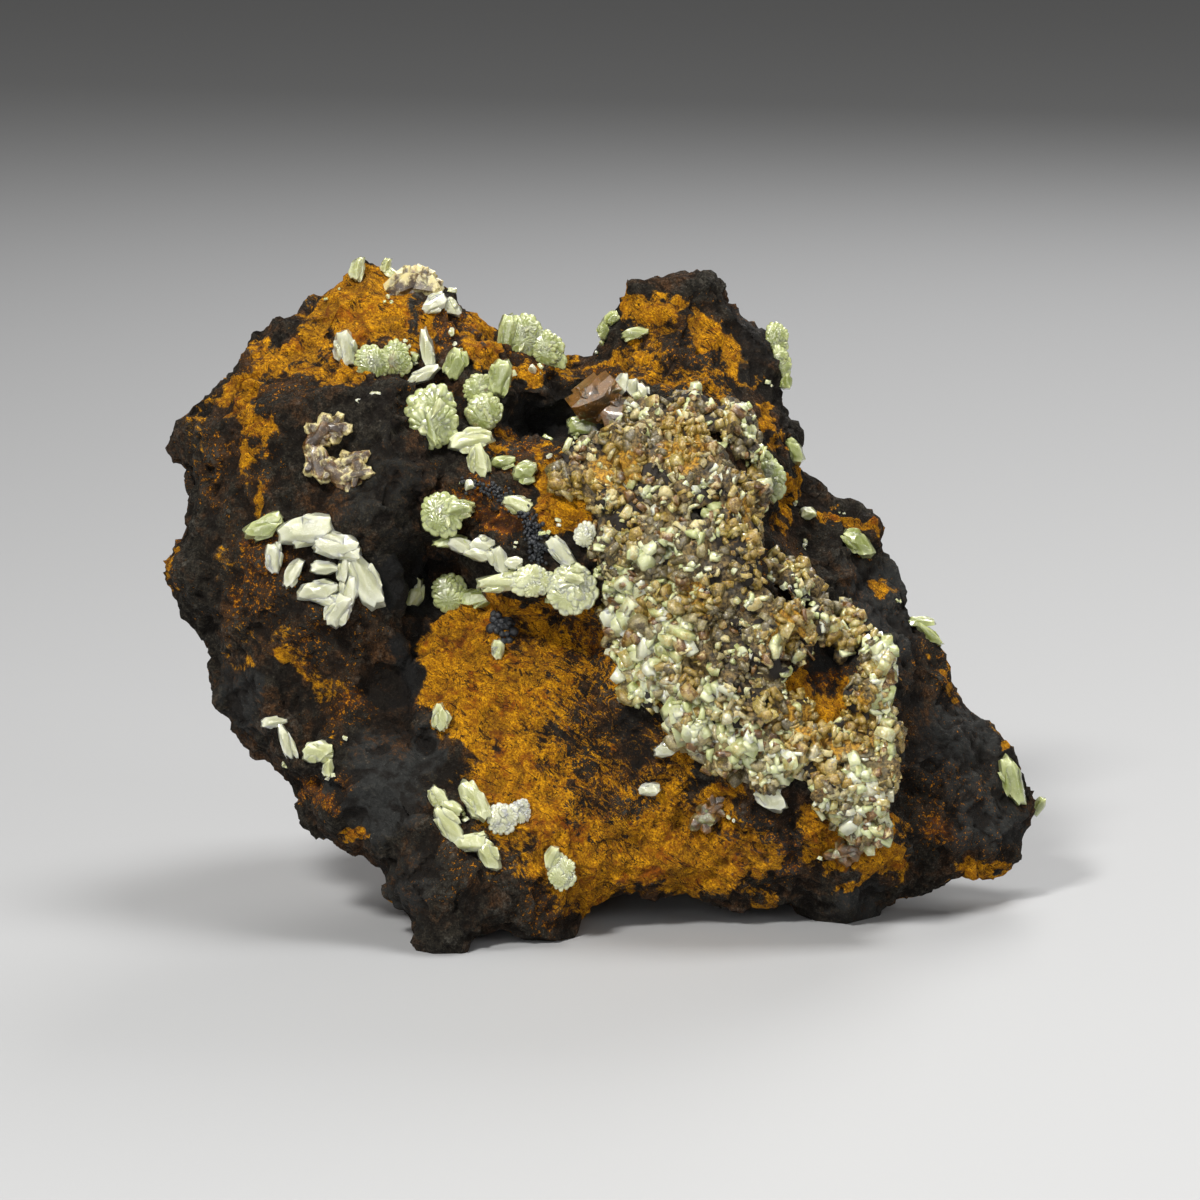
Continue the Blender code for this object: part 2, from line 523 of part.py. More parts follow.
def build_crust(collection, rock_tree, rock_clearance):
    """The crust: stubby crystals crowded over the mound, grown together in one sheet."""
    chance = random.Random(4)
    shape = bmesh.new()
    down = min(point[1] for point in CRUST_EDGE)
    while down < max(point[1] for point in CRUST_EDGE):
        across = min(point[0] for point in CRUST_EDGE) + chance.uniform(0, CRUST_SPACING)
        while across < max(point[0] for point in CRUST_EDGE):
            off_place = [chance.uniform(-CRUST_JITTER, CRUST_JITTER) for _ in range(2)]
            spot = Vector((across, down)) + Vector(off_place)
            bare = (spot - Vector(CRUST_BARE[0])).length < CRUST_BARE[1]
            if inside(CRUST_EDGE, spot) and not bare:
                add_crust_crystal(shape, rock_tree, spot, chance)
            across += CRUST_SPACING
        down += CRUST_SPACING * 0.85
    crust = add_object("crystal_crust", shape, collection)
    remesh(crust, CRUST_VOXEL)
    decimate(crust, CRUST_TRIANGLES)
    boolean(crust, rock_clearance, "DIFFERENCE")
    keep_largest_piece(crust)
    return crust


def add_crust_crystal(shape, tree, spot, chance):
    """A stub on a flat pad that joins it to its neighbours."""
    middle = seat(tree, spot.x, spot.y)
    outward = tree.find_nearest(middle)[1]
    outward = (outward + FORWARD * 0.6).normalized()
    size = CRUST_CRYSTAL * chance.uniform(*CRUST_SIZES)
    pad = outward.to_track_quat("Z", "Y").to_matrix().to_4x4()
    pad = Matrix.Translation(middle) @ pad @ Matrix.Diagonal((1, 1, PAD_FLATNESS, 1))
    bmesh.ops.create_uvsphere(shape, u_segments=8, v_segments=5, radius=PAD_RADIUS, matrix=pad)
    wander = Vector([chance.uniform(-CRUST_WANDER, CRUST_WANDER) for _ in range(3)])
    pointing = (outward + wander).normalized().to_track_quat("Z", "Y").to_matrix().to_4x4()
    spin = Matrix.Rotation(chance.uniform(0, math.pi), 4, "Z")
    stub = Matrix.Translation(middle + outward * size * STUB_RISE) @ pointing @ spin
    bmesh.ops.create_cone(shape, cap_ends=True, segments=6, radius1=size * STUB_FOOT,
                          radius2=size * STUB_TIP, depth=size * STUB_LENGTH, matrix=stub)


def boxes_meet(one, other):
    for axis in range(3):
        here = [vert.co[axis] for vert in one.data.vertices]
        there = [vert.co[axis] for vert in other.data.vertices]
        if min(here) >= max(there) or min(there) >= max(here):
            return False
    return True


def build_crystals(collection, cutters, tree, clearances):
    """Each crystal or intergrown group is one solid, trimmed to what it grows on."""
    made = []
    for name, crystals in CRYSTALS.items():
        seats = group_seats(crystals, tree)
        body = add_object(name, crystal_shape(crystals[0], seats[0]), collection)
        for number, crystal in enumerate(crystals[1:], 1):
            twin = add_object(f"{name}_{number}", crystal_shape(crystal, seats[number]), collection)
            boolean(body, twin, "UNION")
            bpy.data.objects.remove(twin)
        for clearance in clearances:
            if boxes_meet(body, clearance):
                boolean(body, clearance, "DIFFERENCE")
        keep_largest_piece(body)
        merge_flat_facets(body)
        clearances.append(grown(body, GAP, cutters))
        made.append(body)
    return made


def main():
    for obj in list(bpy.data.objects):
        bpy.data.objects.remove(obj)
    parts = bpy.data.collections.new("cerussite_on_limonite")
    cutters = bpy.data.collections.new("cutters")
    for collection in (parts, cutters):
        bpy.context.scene.collection.children.link(collection)

    rock = build_matrix(parts)
    rock.data.materials.clear()
    rock.data.materials.append(material("limonite", (0.16, 0.10, 0.05), 0.9))
    rock_tree = tree_of(rock)
    rock_clearance = grown(rock, GAP, cutters)

    crust = build_crust(parts, rock_tree, rock_clearance)
    crust.data.materials.clear()
    crust.data.materials.append(material("crust crystals", (0.62, 0.55, 0.40), 0.45))
    crust_clearance = grown(crust, GAP, cutters)

    cerussite = material("cerussite", (0.78, 0.77, 0.55), 0.3)
    for body in build_crystals(parts, cutters, rock_tree, [rock_clearance, crust_clearance]):
        body.data.materials.clear()
        body.data.materials.append(cerussite)


main()
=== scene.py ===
"""Cerussite on limonite: a cream crystal crust and scattered pearly crystals on rusty ironstone.

Places on the front are given as pixels of the reference picture, across and down, as in the solid
model. Everything that shows stands in place of one of that model's solids, or on one.
"""

import math
import random
from collections import namedtuple

import bmesh
import bpy
import numpy as np
from mathutils import Matrix, Vector, noise
from mathutils.bvhtree import BVHTree


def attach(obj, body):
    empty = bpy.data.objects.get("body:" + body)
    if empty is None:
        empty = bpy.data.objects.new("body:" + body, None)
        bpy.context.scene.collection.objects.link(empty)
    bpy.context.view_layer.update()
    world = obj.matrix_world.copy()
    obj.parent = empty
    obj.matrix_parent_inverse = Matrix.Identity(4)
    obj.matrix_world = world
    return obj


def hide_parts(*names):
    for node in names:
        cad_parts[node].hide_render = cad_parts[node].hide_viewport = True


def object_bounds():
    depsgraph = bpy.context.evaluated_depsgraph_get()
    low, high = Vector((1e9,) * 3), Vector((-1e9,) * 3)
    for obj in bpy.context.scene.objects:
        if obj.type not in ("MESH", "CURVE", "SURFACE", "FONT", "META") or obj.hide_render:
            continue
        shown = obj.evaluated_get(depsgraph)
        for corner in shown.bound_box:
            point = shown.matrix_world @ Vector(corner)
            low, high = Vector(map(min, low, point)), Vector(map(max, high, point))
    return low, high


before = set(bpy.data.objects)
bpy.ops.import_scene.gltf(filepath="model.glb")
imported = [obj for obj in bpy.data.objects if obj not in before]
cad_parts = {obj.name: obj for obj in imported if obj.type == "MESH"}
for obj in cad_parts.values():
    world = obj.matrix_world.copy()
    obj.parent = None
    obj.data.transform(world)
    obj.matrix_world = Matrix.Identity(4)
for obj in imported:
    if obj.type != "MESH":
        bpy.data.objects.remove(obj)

noise.seed_set(7)                   # the noise starts from the same place in every run
model_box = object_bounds()

# The view. The specimen stands on a plain pale floor and is seen from a little above, from far
# enough away that it is hardly foreshortened. The lamps are broad and soft, as on a light table.
MM = 0.001
PIXEL = 0.1 * MM                    # real size of one picture pixel at the rock's middle
PICTURE_SIDE = 1200
SIGHT_DISTANCE = 600 * MM
SIGHT_DIP = math.radians(10)
SIGHT_MIDDLE = Vector((-0.6, -5.2, 31.4)) * MM
RIGHTWARD = Vector((1, 0, 0))
UPWARD = Vector((0, math.sin(SIGHT_DIP), math.cos(SIGHT_DIP)))
FORWARD = Vector((0, -math.cos(SIGHT_DIP), math.sin(SIGHT_DIP)))
EYE = SIGHT_MIDDLE + FORWARD * SIGHT_DISTANCE
FACING = Matrix((RIGHTWARD, UPWARD, FORWARD)).transposed().to_4x4()


def place(across, down, forward=0):
    """The point seen at a picture pixel, that many millimetres forward of the rock's middle."""
    spread = PIXEL * (1 - forward * MM / SIGHT_DISTANCE)
    right = (across - PICTURE_SIDE / 2) * spread
    up = (PICTURE_SIDE / 2 - down) * spread
    return SIGHT_MIDDLE + RIGHTWARD * right + UPWARD * up + FORWARD * forward * MM


def seen_at(points):
    """Where an array of points falls in the picture: their pixels across and down."""
    lines = points - np.array(EYE)
    depth = -lines @ np.array(FORWARD)
    scale = SIGHT_DISTANCE / PIXEL / depth
    right = lines @ np.array(RIGHTWARD) * scale
    up = lines @ np.array(UPWARD) * scale
    return PICTURE_SIDE / 2 + right, PICTURE_SIDE / 2 - up


camera = bpy.data.objects.new("camera", bpy.data.cameras.new("camera"))
camera.data.sensor_width = 36
camera.data.lens = camera.data.sensor_width * SIGHT_DISTANCE / (PICTURE_SIDE * PIXEL)
camera.data.clip_start = 10 * MM
camera.data.clip_end = 20
camera.matrix_world = Matrix.Translation(EYE) @ FACING
bpy.context.scene.collection.objects.link(camera)
bpy.context.scene.camera = camera
bpy.context.scene.view_settings.view_transform = "Standard"


def soft_lamp(name, spot, side, watts, colour):
    """A square area lamp at a spot in metres, turned to the specimen."""
    lamp = bpy.data.lights.new(name, "AREA")
    lamp.size = side
    lamp.energy = watts
    lamp.color = colour
    obj = bpy.data.objects.new(name, lamp)
    obj.location = spot
    obj.rotation_euler = (Vector(spot) - SIGHT_MIDDLE).to_track_quat("Z", "Y").to_euler()
    bpy.context.scene.collection.objects.link(obj)


soft_lamp("key lamp", (-0.26, -0.44, 0.50), 0.11, 4.8, (1, 0.97, 0.91))
soft_lamp("front lamp", (-0.10, -0.62, 0.16), 0.30, 1.1, (1, 0.98, 0.94))
soft_lamp("top lamp", (0.12, 0.02, 0.60), 0.22, 2.4, (1, 0.98, 0.94))
soft_lamp("fill lamp", (0.55, -0.40, 0.22), 0.26, 1.1, (1, 0.98, 0.94))
soft_lamp("back lamp", (0.16, 0.55, 0.42), 0.30, 1.7, (1, 0.98, 0.95))
room = bpy.data.worlds.new("pale room")
room.use_nodes = True
room_light = room.node_tree.nodes["Background"]
room_light.inputs["Color"].default_value = (1, 0.98, 0.94, 1)
room_light.inputs["Strength"].default_value = 0.12
bpy.context.scene.world = room

FLOOR_REACH = 6                     # metres each way, past the edges of the picture
floor_shape = bmesh.new()
bmesh.ops.create_grid(floor_shape, x_segments=1, y_segments=1, size=FLOOR_REACH)
floor = bpy.data.objects.new("floor", bpy.data.meshes.new("floor"))
floor_shape.to_mesh(floor.data)
floor_shape.free()
bpy.context.scene.collection.objects.link(floor)
floor_paint = bpy.data.materials.new("pale floor")
floor_paint.use_nodes = True
floor_shader = floor_paint.node_tree.nodes["Principled BSDF"]
floor_shader.inputs["Base Color"].default_value = (0.40, 0.41, 0.43, 1)
floor_shader.inputs["Roughness"].default_value = 0.6
floor.data.materials.append(floor_paint)

# The matrix. Limonite, an earthy iron ore, broken from its vein in one piece: sooty dark where it is
# fresh or stained with manganese, rust orange in its pores and powdery ochre yellow over old joints.
# Shade is painted into its crevices and into the valley, vug and channel beside the crystals, and
# painted highlights lighten its raised edges and brightest specks.
# The solid is divided finely in front and more coarsely behind, then chipped, pitted and grained.
FINEST_EDGE = {"front": 0.51 * MM, "back": 1.2 * MM}
LONGEST_EDGE = 1.3                  # dividing stops at edges this many times the finest
OUTWARD_LIMIT = 0.45                # millimetres that the grain may stand proud of the solid
FOOT_BLEND = 1.2 * MM               # height over which the worn flat feet turn into broken rock
ROCK_CREASE = 48                    # degrees between faces from which an edge shows sharp

# Stained areas, and the patches of painted shade among them, are ellipses on the front. Each row gives
# the middle and the half sizes in pixels, a turn anticlockwise in degrees and a strength; the last two
# are left out where they are 0 and 1.
Patch = namedtuple("Patch", "across down wide high turn strength", defaults=(0, 1.0))
OCHRE = [
    # left peak and the slope under it
    (360, 303, 46, 40, 0, 1.2), (398, 335, 14, 22), (345, 352, 42, 12, 0, 0.6), (290, 330, 50, 20, 40, 0.5),
    (430, 330, 16, 18, 0, 0.8), (425, 290, 18, 12, 0, 0.35), (238, 388, 34, 13, 30, 0.9),
    (248, 415, 20, 28, 10, 0.8), (250, 462, 11, 26, -14, 0.7), (256, 505, 12, 34, -14, 0.66),
    (204, 405, 14, 22, 0, 0.55), (190, 470, 10, 26, 0, 0.4), (320, 372, 40, 10, 0, 0.45),
    (292, 350, 60, 24, 30, 0.72), (335, 368, 52, 13, 0, 0.65), (262, 352, 24, 24, 0, 0.6),
    (198, 432, 22, 44, 0, 0.42), (222, 560, 24, 56, 0, 0.42), (268, 640, 40, 20, 0, 0.45),
    # left lump and the slab below it
    (166, 552, 13, 20, 0, 0.8), (163, 592, 12, 14, 0, 0.6), (296, 664, 40, 18, -16, 0.66),
    (318, 690, 22, 20, 30, 0.55), (240, 668, 18, 12, 0, 0.6), (318, 805, 14, 12, 0, 0.45),
    (356, 832, 20, 8, 0, 0.75), (345, 745, 10, 6, 0, 0.5), (275, 605, 16, 8, 0, 0.5),
    # the great ochre face
    (470, 645, 60, 42, 0, 1.2), (460, 690, 40, 50, 0, 1.1), (520, 690, 95, 70, 0, 0.95),
    (560, 780, 110, 80, 0, 0.85), (610, 845, 110, 52, 10, 0.95), (690, 865, 80, 34, 0, 0.95),
    (590, 900, 26, 24, 0, 0.9), (640, 720, 46, 30, 0, 0.6), (622, 690, 34, 60, 0, 0.75),
    (730, 800, 30, 30, 0, 0.7), (745, 860, 34, 22, 0, 0.5), (650, 765, 50, 74, -24, 0.8),
    (716, 845, 60, 34, -10, 0.75), (600, 650, 44, 34, 0, 0.7), (500, 780, 50, 46, 0, 0.75),
    (560, 620, 60, 26, 0, 0.65), (760, 900, 22, 12, 0, 0.6),
    # lower right ledge
    (825, 835, 34, 28, 0, 0.85), (880, 850, 28, 28), (862, 880, 34, 10, 10, 0.7), (985, 874, 28, 11),
    (1016, 748, 9, 9, 0, 0.9), (955, 678, 8, 20, 30, 0.8), (893, 594, 13, 18, 0, 0.75),
    (850, 517, 34, 10, -20, 0.85), (793, 492, 9, 40, -8, 0.95), (764, 415, 11, 16, 0, 0.9),
    (775, 440, 8, 10, 0, 0.7), (478, 312, 28, 12, -50, 0.8), (487, 348, 13, 28, 0, 0.8),
    (512, 376, 20, 14, 0, 0.9), (365, 378, 30, 6, 0, 0.4), (740, 870, 60, 30, 0, 0.45),
    (930, 650, 20, 30, 0, 0.4),
    # horn and saddle
    (652, 302, 38, 20, 0, 0.75), (622, 290, 10, 12), (718, 342, 50, 15, -50, 0.85),
    (690, 382, 56, 18, -10, 0.7), (645, 345, 30, 18, 0, 0.55), (748, 372, 16, 10, 0, 0.7),
    (592, 368, 20, 8, 0, 0.6), (680, 300, 14, 20, 0, 0.5), (650, 312, 44, 28, 0, 0.55),
    (640, 362, 40, 26, 0, 0.55), (700, 405, 46, 18, 0, 0.5), (560, 360, 24, 12, 0, 0.6),
    # middle ledges
    (532, 380, 15, 14, 0, 0.9), (500, 447, 13, 11, 0, 0.8), (562, 500, 27, 34, 0, 1.05),
    (545, 455, 12, 12, 0, 0.7), (520, 610, 30, 10, 0, 0.8), (620, 520, 14, 40, 0, 0.6),
    # the hollow in the crust
    (818, 728, 50, 36), (848, 706, 34, 30, 0, 0.8), (800, 690, 24, 30, 0, 0.8),
]
RUST = [
    (262, 560, 40, 46, 0, 0.85), (245, 605, 40, 28, 0, 0.75), (345, 712, 34, 20, 0, 0.9),
    (318, 798, 22, 20), (300, 640, 40, 22, 0, 0.7), (215, 470, 26, 50, 0, 0.6), (250, 440, 26, 70, 0, 0.7),
    (600, 640, 50, 26, 0, 0.9), (620, 770, 90, 60, 0, 0.6), (690, 830, 80, 40, 0, 0.7),
    (510, 520, 28, 34, 0, 0.9), (430, 880, 36, 24, 0, 0.4), (545, 900, 34, 24, 0, 0.8), (935, 822, 26, 22),
    (900, 730, 20, 80, 0, 0.5), (860, 680, 30, 60, 0, 0.8), (820, 690, 44, 50, 0, 0.9),
    (700, 350, 60, 60, 0, 0.6), (470, 320, 40, 24, 0, 0.7), (530, 365, 30, 22, 0, 0.8),
    (610, 380, 40, 20, 0, 0.7), (780, 560, 24, 30, 0, 0.5), (850, 540, 40, 30, 0, 0.35),
    (1000, 850, 40, 20, 0, 0.5), (420, 690, 14, 40, 0, 0.8), (480, 850, 60, 50, 0, 0.5),
    (165, 570, 20, 40, 0, 0.7),
    # the brown blade, the ledges round it and the stone under the great rosettes
    (500, 528, 32, 22, -40, 1.3), (470, 500, 26, 20), (520, 450, 60, 26, 0, 0.8),
    (430, 400, 40, 60, 0, 0.5), (480, 330, 60, 30, 0, 0.8), (600, 600, 60, 30, 0, 0.8),
    (330, 640, 60, 60, 0, 0.5), (300, 560, 60, 60, 0, 0.4), (960, 640, 60, 90, 0, 0.5),
    (940, 800, 70, 60, 0, 0.55), (280, 370, 60, 26, 0, 0.7), (765, 850, 40, 36, 0, 0.9),
]
GREY = [
    (384, 785, 52, 46, 20), (420, 750, 20, 30, 0, 0.8), (400, 900, 34, 60, -30, 0.6),
    (240, 700, 20, 40, 30, 0.7), (770, 850, 30, 26, 0, 0.8), (860, 905, 40, 20, 0, 0.7),
    (900, 610, 60, 70, 0, 0.7), (960, 750, 60, 60, 0, 0.75), (370, 480, 60, 50, 0, 0.45),
    (985, 820, 50, 40, 0, 0.8), (760, 320, 22, 40, 0, 0.6), (700, 290, 24, 18, 0, 0.4),
    # the rim of the brown blade in the middle
    (492, 494, 34, 6, -22), (534, 530, 30, 7, -62),
]
# Sooty stain, and painted shade in the valley by the dark block, the vug and the channel by the crust.
SOOT_AND_SHADE = [
    (640, 735, 26, 42, 30, 0.55), (560, 730, 60, 14, -35, 0.35), (620, 800, 40, 12, -35, 0.4),
    (410, 575, 34, 44), (410, 670, 18, 44, 0, 0.8), (545, 418, 44, 18), (908, 700, 10, 90, 0, 0.5),
    (760, 340, 24, 40, 0, 0.5), (835, 655, 40, 14, 0, 0.7),
]
MARBLED = [
    (600, 745, 62, 96, 12, 1.2), (580, 640, 50, 24, 0, 0.5), (700, 390, 50, 24, 0, 0.4),
]
SMOOTH = [
    (384, 785, 60, 52, 20, 0.7), (560, 750, 130, 130, 0, 0.8), (360, 305, 46, 40, 0, 0.8),
    (960, 740, 70, 90, 0, 0.3),
]
BUBBLY = [
    (500, 626, 14, 18), (390, 745, 30, 20, 0, 0.5), (245, 560, 60, 60, 0, 0.35),
]


def patch_strength(across, down, patches):
    """How strongly each pixel is covered by the strongest patch over it."""
    strongest = np.zeros(len(across))
    for row in patches:
        spot = Patch(*row)
        turn = math.radians(spot.turn)
        right, up = across - spot.across, spot.down - down
        along = right * math.cos(turn) + up * math.sin(turn)
        aside = up * math.cos(turn) - right * math.sin(turn)
        nearness = np.clip(1.6 - 1.1 * np.hypot(along / spot.wide, aside / spot.high), 0, 1)
        strongest = np.maximum(strongest, nearness * spot.strength)
    return strongest


def wandering(points, across, down):
    """The pixels moved about by broad and fine noise, so that a stain's edge wanders like a real one."""
    moves = np.array([
        noise.noise_vector(Vector(point) / MM / 4.2) * 22 + noise.noise_vector(Vector(point) / MM / 1.3) * 11
        for point in points
    ])
    return across + moves[:, 0], down + moves[:, 2]


def welded(node):
    """The node's mesh as a bmesh, its points joined again where the file split them."""
    shape = bmesh.new()
    shape.from_mesh(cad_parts[node].data)
    bmesh.ops.remove_doubles(shape, verts=shape.verts[:], dist=0.001 * MM)
    return shape


def divide(shape, front_edge, back_edge):
    """Splits edges in half, over and over, until those in front and behind are that short."""

    def finest(face):
        """The aim for a face, which is longer the more it turns away from the viewer."""
        behind = min(max((0.35 - face.normal.dot(FORWARD)) / 0.6, 0), 1)
        return front_edge + (back_edge - front_edge) * behind

    longest = max(edge.calc_length() for edge in shape.edges)
    while longest > front_edge * LONGEST_EDGE:
        longest /= 2
        shape.normal_update()
        cut = []
        for edge in shape.edges:
            if edge.calc_length() > max(longest, min(finest(face) for face in edge.link_faces)):
                cut.append(edge)
        bmesh.ops.subdivide_edges(shape, edges=cut, cuts=1)
        bmesh.ops.triangulate(shape, faces=[face for face in shape.faces if len(face.verts) > 3])


def arrays(shape):
    """A bmesh's points and their normals, as arrays."""
    shape.normal_update()
    points = np.array([vert.co[:] for vert in shape.verts])
    normals = np.array([vert.normal[:] for vert in shape.verts])
    return points, normals


def inside_box(points):
    """The points, with any that stand out of the model's box brought back to its sides."""
    return np.clip(points, np.array(model_box[0]), np.array(model_box[1]))


def chips(spot, across):
    """Flat broken chips that many millimetres across, each with a level and a slant of its own."""
    cell = noise.voronoi(spot / across)[1][0]
    slant = noise.noise_vector(cell * 7.3)
    return slant.x * 0.5 + (spot / across - cell).dot(slant)


def rock_relief(spot, bubbly):
    """Relief at a spot in millimetres, coarse and fine: chipped ledges, crumbs, pores and grain."""
    warp = noise.noise_vector(spot / 2.2) * 1.1
    ledges = chips(spot + warp, 6.5) * 1.1 + noise.noise(spot / 3.5 + Vector((9, 2, 5))) * 0.55
    crumbs = chips(spot + warp * 0.6, 2.1) * 0.75 + noise.fractal(spot / 1.1, 0.6, 2.2, 4) * 0.28
    pores = -0.8 * max(0.0, noise.noise(spot / 1.0 + Vector((4, 8, 1))) - 0.25)
    if bubbly > 0.05:
        bubbles, _ = noise.voronoi(spot / 0.75)
        crumbs += bubbly * (0.3 - bubbles[0] * 0.5)
    return ledges - 0.2, crumbs + pores - 0.05


def moved_mesh(name, shape, points):
    """The bmesh as a smooth shaded mesh, its points moved to those of an array."""
    mesh = bpy.data.meshes.new(name)
    shape.to_mesh(mesh)
    shape.free()
    mesh.vertices.foreach_set("co", points.astype(np.float32).ravel())
    mesh.update()
    mesh.shade_smooth()
    return mesh


def add_attribute(mesh, name, values):
    """Stores one number a point, for the material to read."""
    mesh.attributes.new(name, "FLOAT", "POINT").data.foreach_set("value", np.asarray(values, np.float32))


rock_shape = welded("matrix")
rock_tree = BVHTree.FromBMesh(rock_shape)
divide(rock_shape, FINEST_EDGE["front"], FINEST_EDGE["back"])
above_feet = [vert for vert in rock_shape.verts if vert.co.z > FOOT_BLEND]
bmesh.ops.smooth_vert(rock_shape, verts=above_feet, factor=0.5)
rock_points, rock_normals = arrays(rock_shape)
across, down = seen_at(rock_points)
front = np.clip(rock_normals @ np.array(FORWARD) * 4 + 0.6, 0, 1)
bubbly = patch_strength(across, down, BUBBLY) * front
smooth = patch_strength(across, down, SMOOTH) * front
relief = np.array([rock_relief(Vector(point) / MM, skin) for point, skin in zip(rock_points, bubbly)])
broken = relief[:, 0] * (1 - smooth * 0.5)
fine = relief[:, 1] * (1 - smooth * 0.6)
height = np.minimum(broken + fine, OUTWARD_LIMIT)
off_floor = np.clip(rock_points[:, 2] / FOOT_BLEND, 0, 1)
rock_points = inside_box(rock_points + rock_normals * (height * off_floor * MM)[:, None])

rock_mesh = moved_mesh("limonite matrix", rock_shape, rock_points)
rock_mesh.set_sharp_from_angle(angle=math.radians(ROCK_CREASE))
rock_faces = [tuple(face.vertices) for face in rock_mesh.polygons]
skin_tree = BVHTree.FromPolygons([Vector(point) for point in rock_points], rock_faces)
across, down = wandering(rock_points, across, down)
wild = np.array([noise.fractal(Vector(point) / MM / 11, 0.8, 2.0, 3) for point in rock_points])
behind = 1 - front
stains_and_shade = {
    "ochre": patch_strength(across, down, OCHRE) * front + behind * np.clip(wild * 1.6 + 0.35, 0, 1),
    "rust": patch_strength(across, down, RUST) * front + behind * np.clip(0.45 - wild, 0, 0.9),
    "grey": patch_strength(across, down, GREY) * front + behind * np.clip(wild * -1.4, 0, 0.8),
    "soot": patch_strength(across, down, SOOT_AND_SHADE) * front,
    "marbled": patch_strength(across, down, MARBLED) * front + behind * 0.4,
    # how deep each point lies in the relief: deep points get painted shade and raised ones a painted
    # highlight
    "hollow": np.clip(0.5 - relief[:, 0] * 0.5 - relief[:, 1] * 1.6, 0, 1),
}
for name, values in stains_and_shade.items():
    add_attribute(rock_mesh, name, values)


class Shade:
    """A socket in a material's node tree, so that shader maths reads as plain sums."""

    def __init__(self, tree, socket=None):
        self.tree = tree
        self.socket = socket

    def node(self, kind, settings=None, inputs=None, out=0):
        """Adds a node: its settings first, then its sockets' values or links; gives one output."""
        made = self.tree.nodes.new(kind)
        for name, value in (settings or {}).items():
            setattr(made, name, value)
        for name, value in (inputs or {}).items():
            if isinstance(value, Shade):
                self.tree.links.new(value.socket, made.inputs[name])
            else:
                made.inputs[name].default_value = value
        return Shade(self.tree, made.outputs[out])

    def maths(self, operation, first, second):
        return self.node("ShaderNodeMath", {"operation": operation}, {0: first, 1: second})

    def __add__(self, other):
        return self.maths("ADD", self, other)

    def __sub__(self, other):
        return self.maths("SUBTRACT", self, other)

    def __rsub__(self, other):
        return self.maths("SUBTRACT", other, self)

    def __mul__(self, other):
        return self.maths("MULTIPLY", self, other)

    __radd__ = __add__
    __rmul__ = __mul__

    def ramp(self, low, high):
        """0 below the low value, 1 above the high one, and a smooth step between them."""
        sockets = {"Value": self, "From Min": low, "From Max": high}
        return self.node("ShaderNodeMapRange", {"interpolation_type": "SMOOTHSTEP"}, sockets)

    def mix(self, first, second):
        """The first colour where this mask is 0 and the second where it is 1."""
        return self.node("ShaderNodeMix", {"data_type": "RGBA"}, {0: self, 6: first, 7: second}, out=2)

    def stored(self, name):
        """A number that the mesh holds for each point."""
        return self.node("ShaderNodeAttribute", {"attribute_name": name}, out="Fac")

    def millimetres(self):
        """The place on the object, in millimetres."""
        place_on = self.node("ShaderNodeTexCoord", out="Object")
        return self.node("ShaderNodeVectorMath", {"operation": "SCALE"}, {0: place_on, "Scale": 1000})

    def grain(self, size, detail=3, roughness=0.6, warp=0, comb=1):
        """Cloudy noise, its features that many millimetres across, from 0 to 1; a comb stretches
        them that many times along the slope that runs down the front to the right."""
        place_on = self.millimetres()
        if comb > 1:
            along = {"Vector": place_on, "Rotation": (0, math.radians(38), 0), "Scale": (comb, 1, 1)}
            place_on = self.node("ShaderNodeMapping", {"vector_type": "TEXTURE"}, along)
        sockets = {"Vector": place_on, "Scale": 1 / size, "Detail": detail, "Roughness": roughness}
        return self.node("ShaderNodeTexNoise", None, sockets | {"Distortion": warp})

    def spread(self):
        """This noise, which keeps near its middle, stretched to run from about 0 to 1."""
        return self.node("ShaderNodeMapRange", None, {"Value": self, "From Min": 0.3, "From Max": 0.7})

    def crossings(self, width):
        """Thin lines, like cracks, where this noise passes its middle value."""
        away = self.node("ShaderNodeMath", {"operation": "ABSOLUTE"}, {0: self - 0.5})
        return 1 - away.ramp(0, width)

    def feed(self, shader, name):
        """Links this to one of the shader's inputs."""
        self.tree.links.new(self.socket, shader.inputs[name])

    def emboss(self, shader, strength, depth):
        """Takes this as a relief that many metres deep, for the shader to light."""
        sockets = {"Strength": strength, "Distance": depth, "Height": self}
        self.node("ShaderNodeBump", None, sockets, out="Normal").feed(shader, "Normal")


def new_finish(name):
    """A fresh material, with a Shade to start its maths from and its shader."""
    material = bpy.data.materials.new(name)
    material.use_nodes = True
    return material, Shade(material.node_tree), material.node_tree.nodes["Principled BSDF"]


def linear(red, green, blue):
    """An everyday 0 to 255 screen colour, as the shader wants it."""
    return (*[((value / 255 + 0.055) / 1.055) ** 2.4 for value in (red, green, blue)], 1)


def add_object(name, mesh, material):
    """A new object of that mesh and material, put in the scene."""
    obj = bpy.data.objects.new(name, mesh)
    obj.data.materials.append(material)
    bpy.context.scene.collection.objects.link(obj)
    return obj


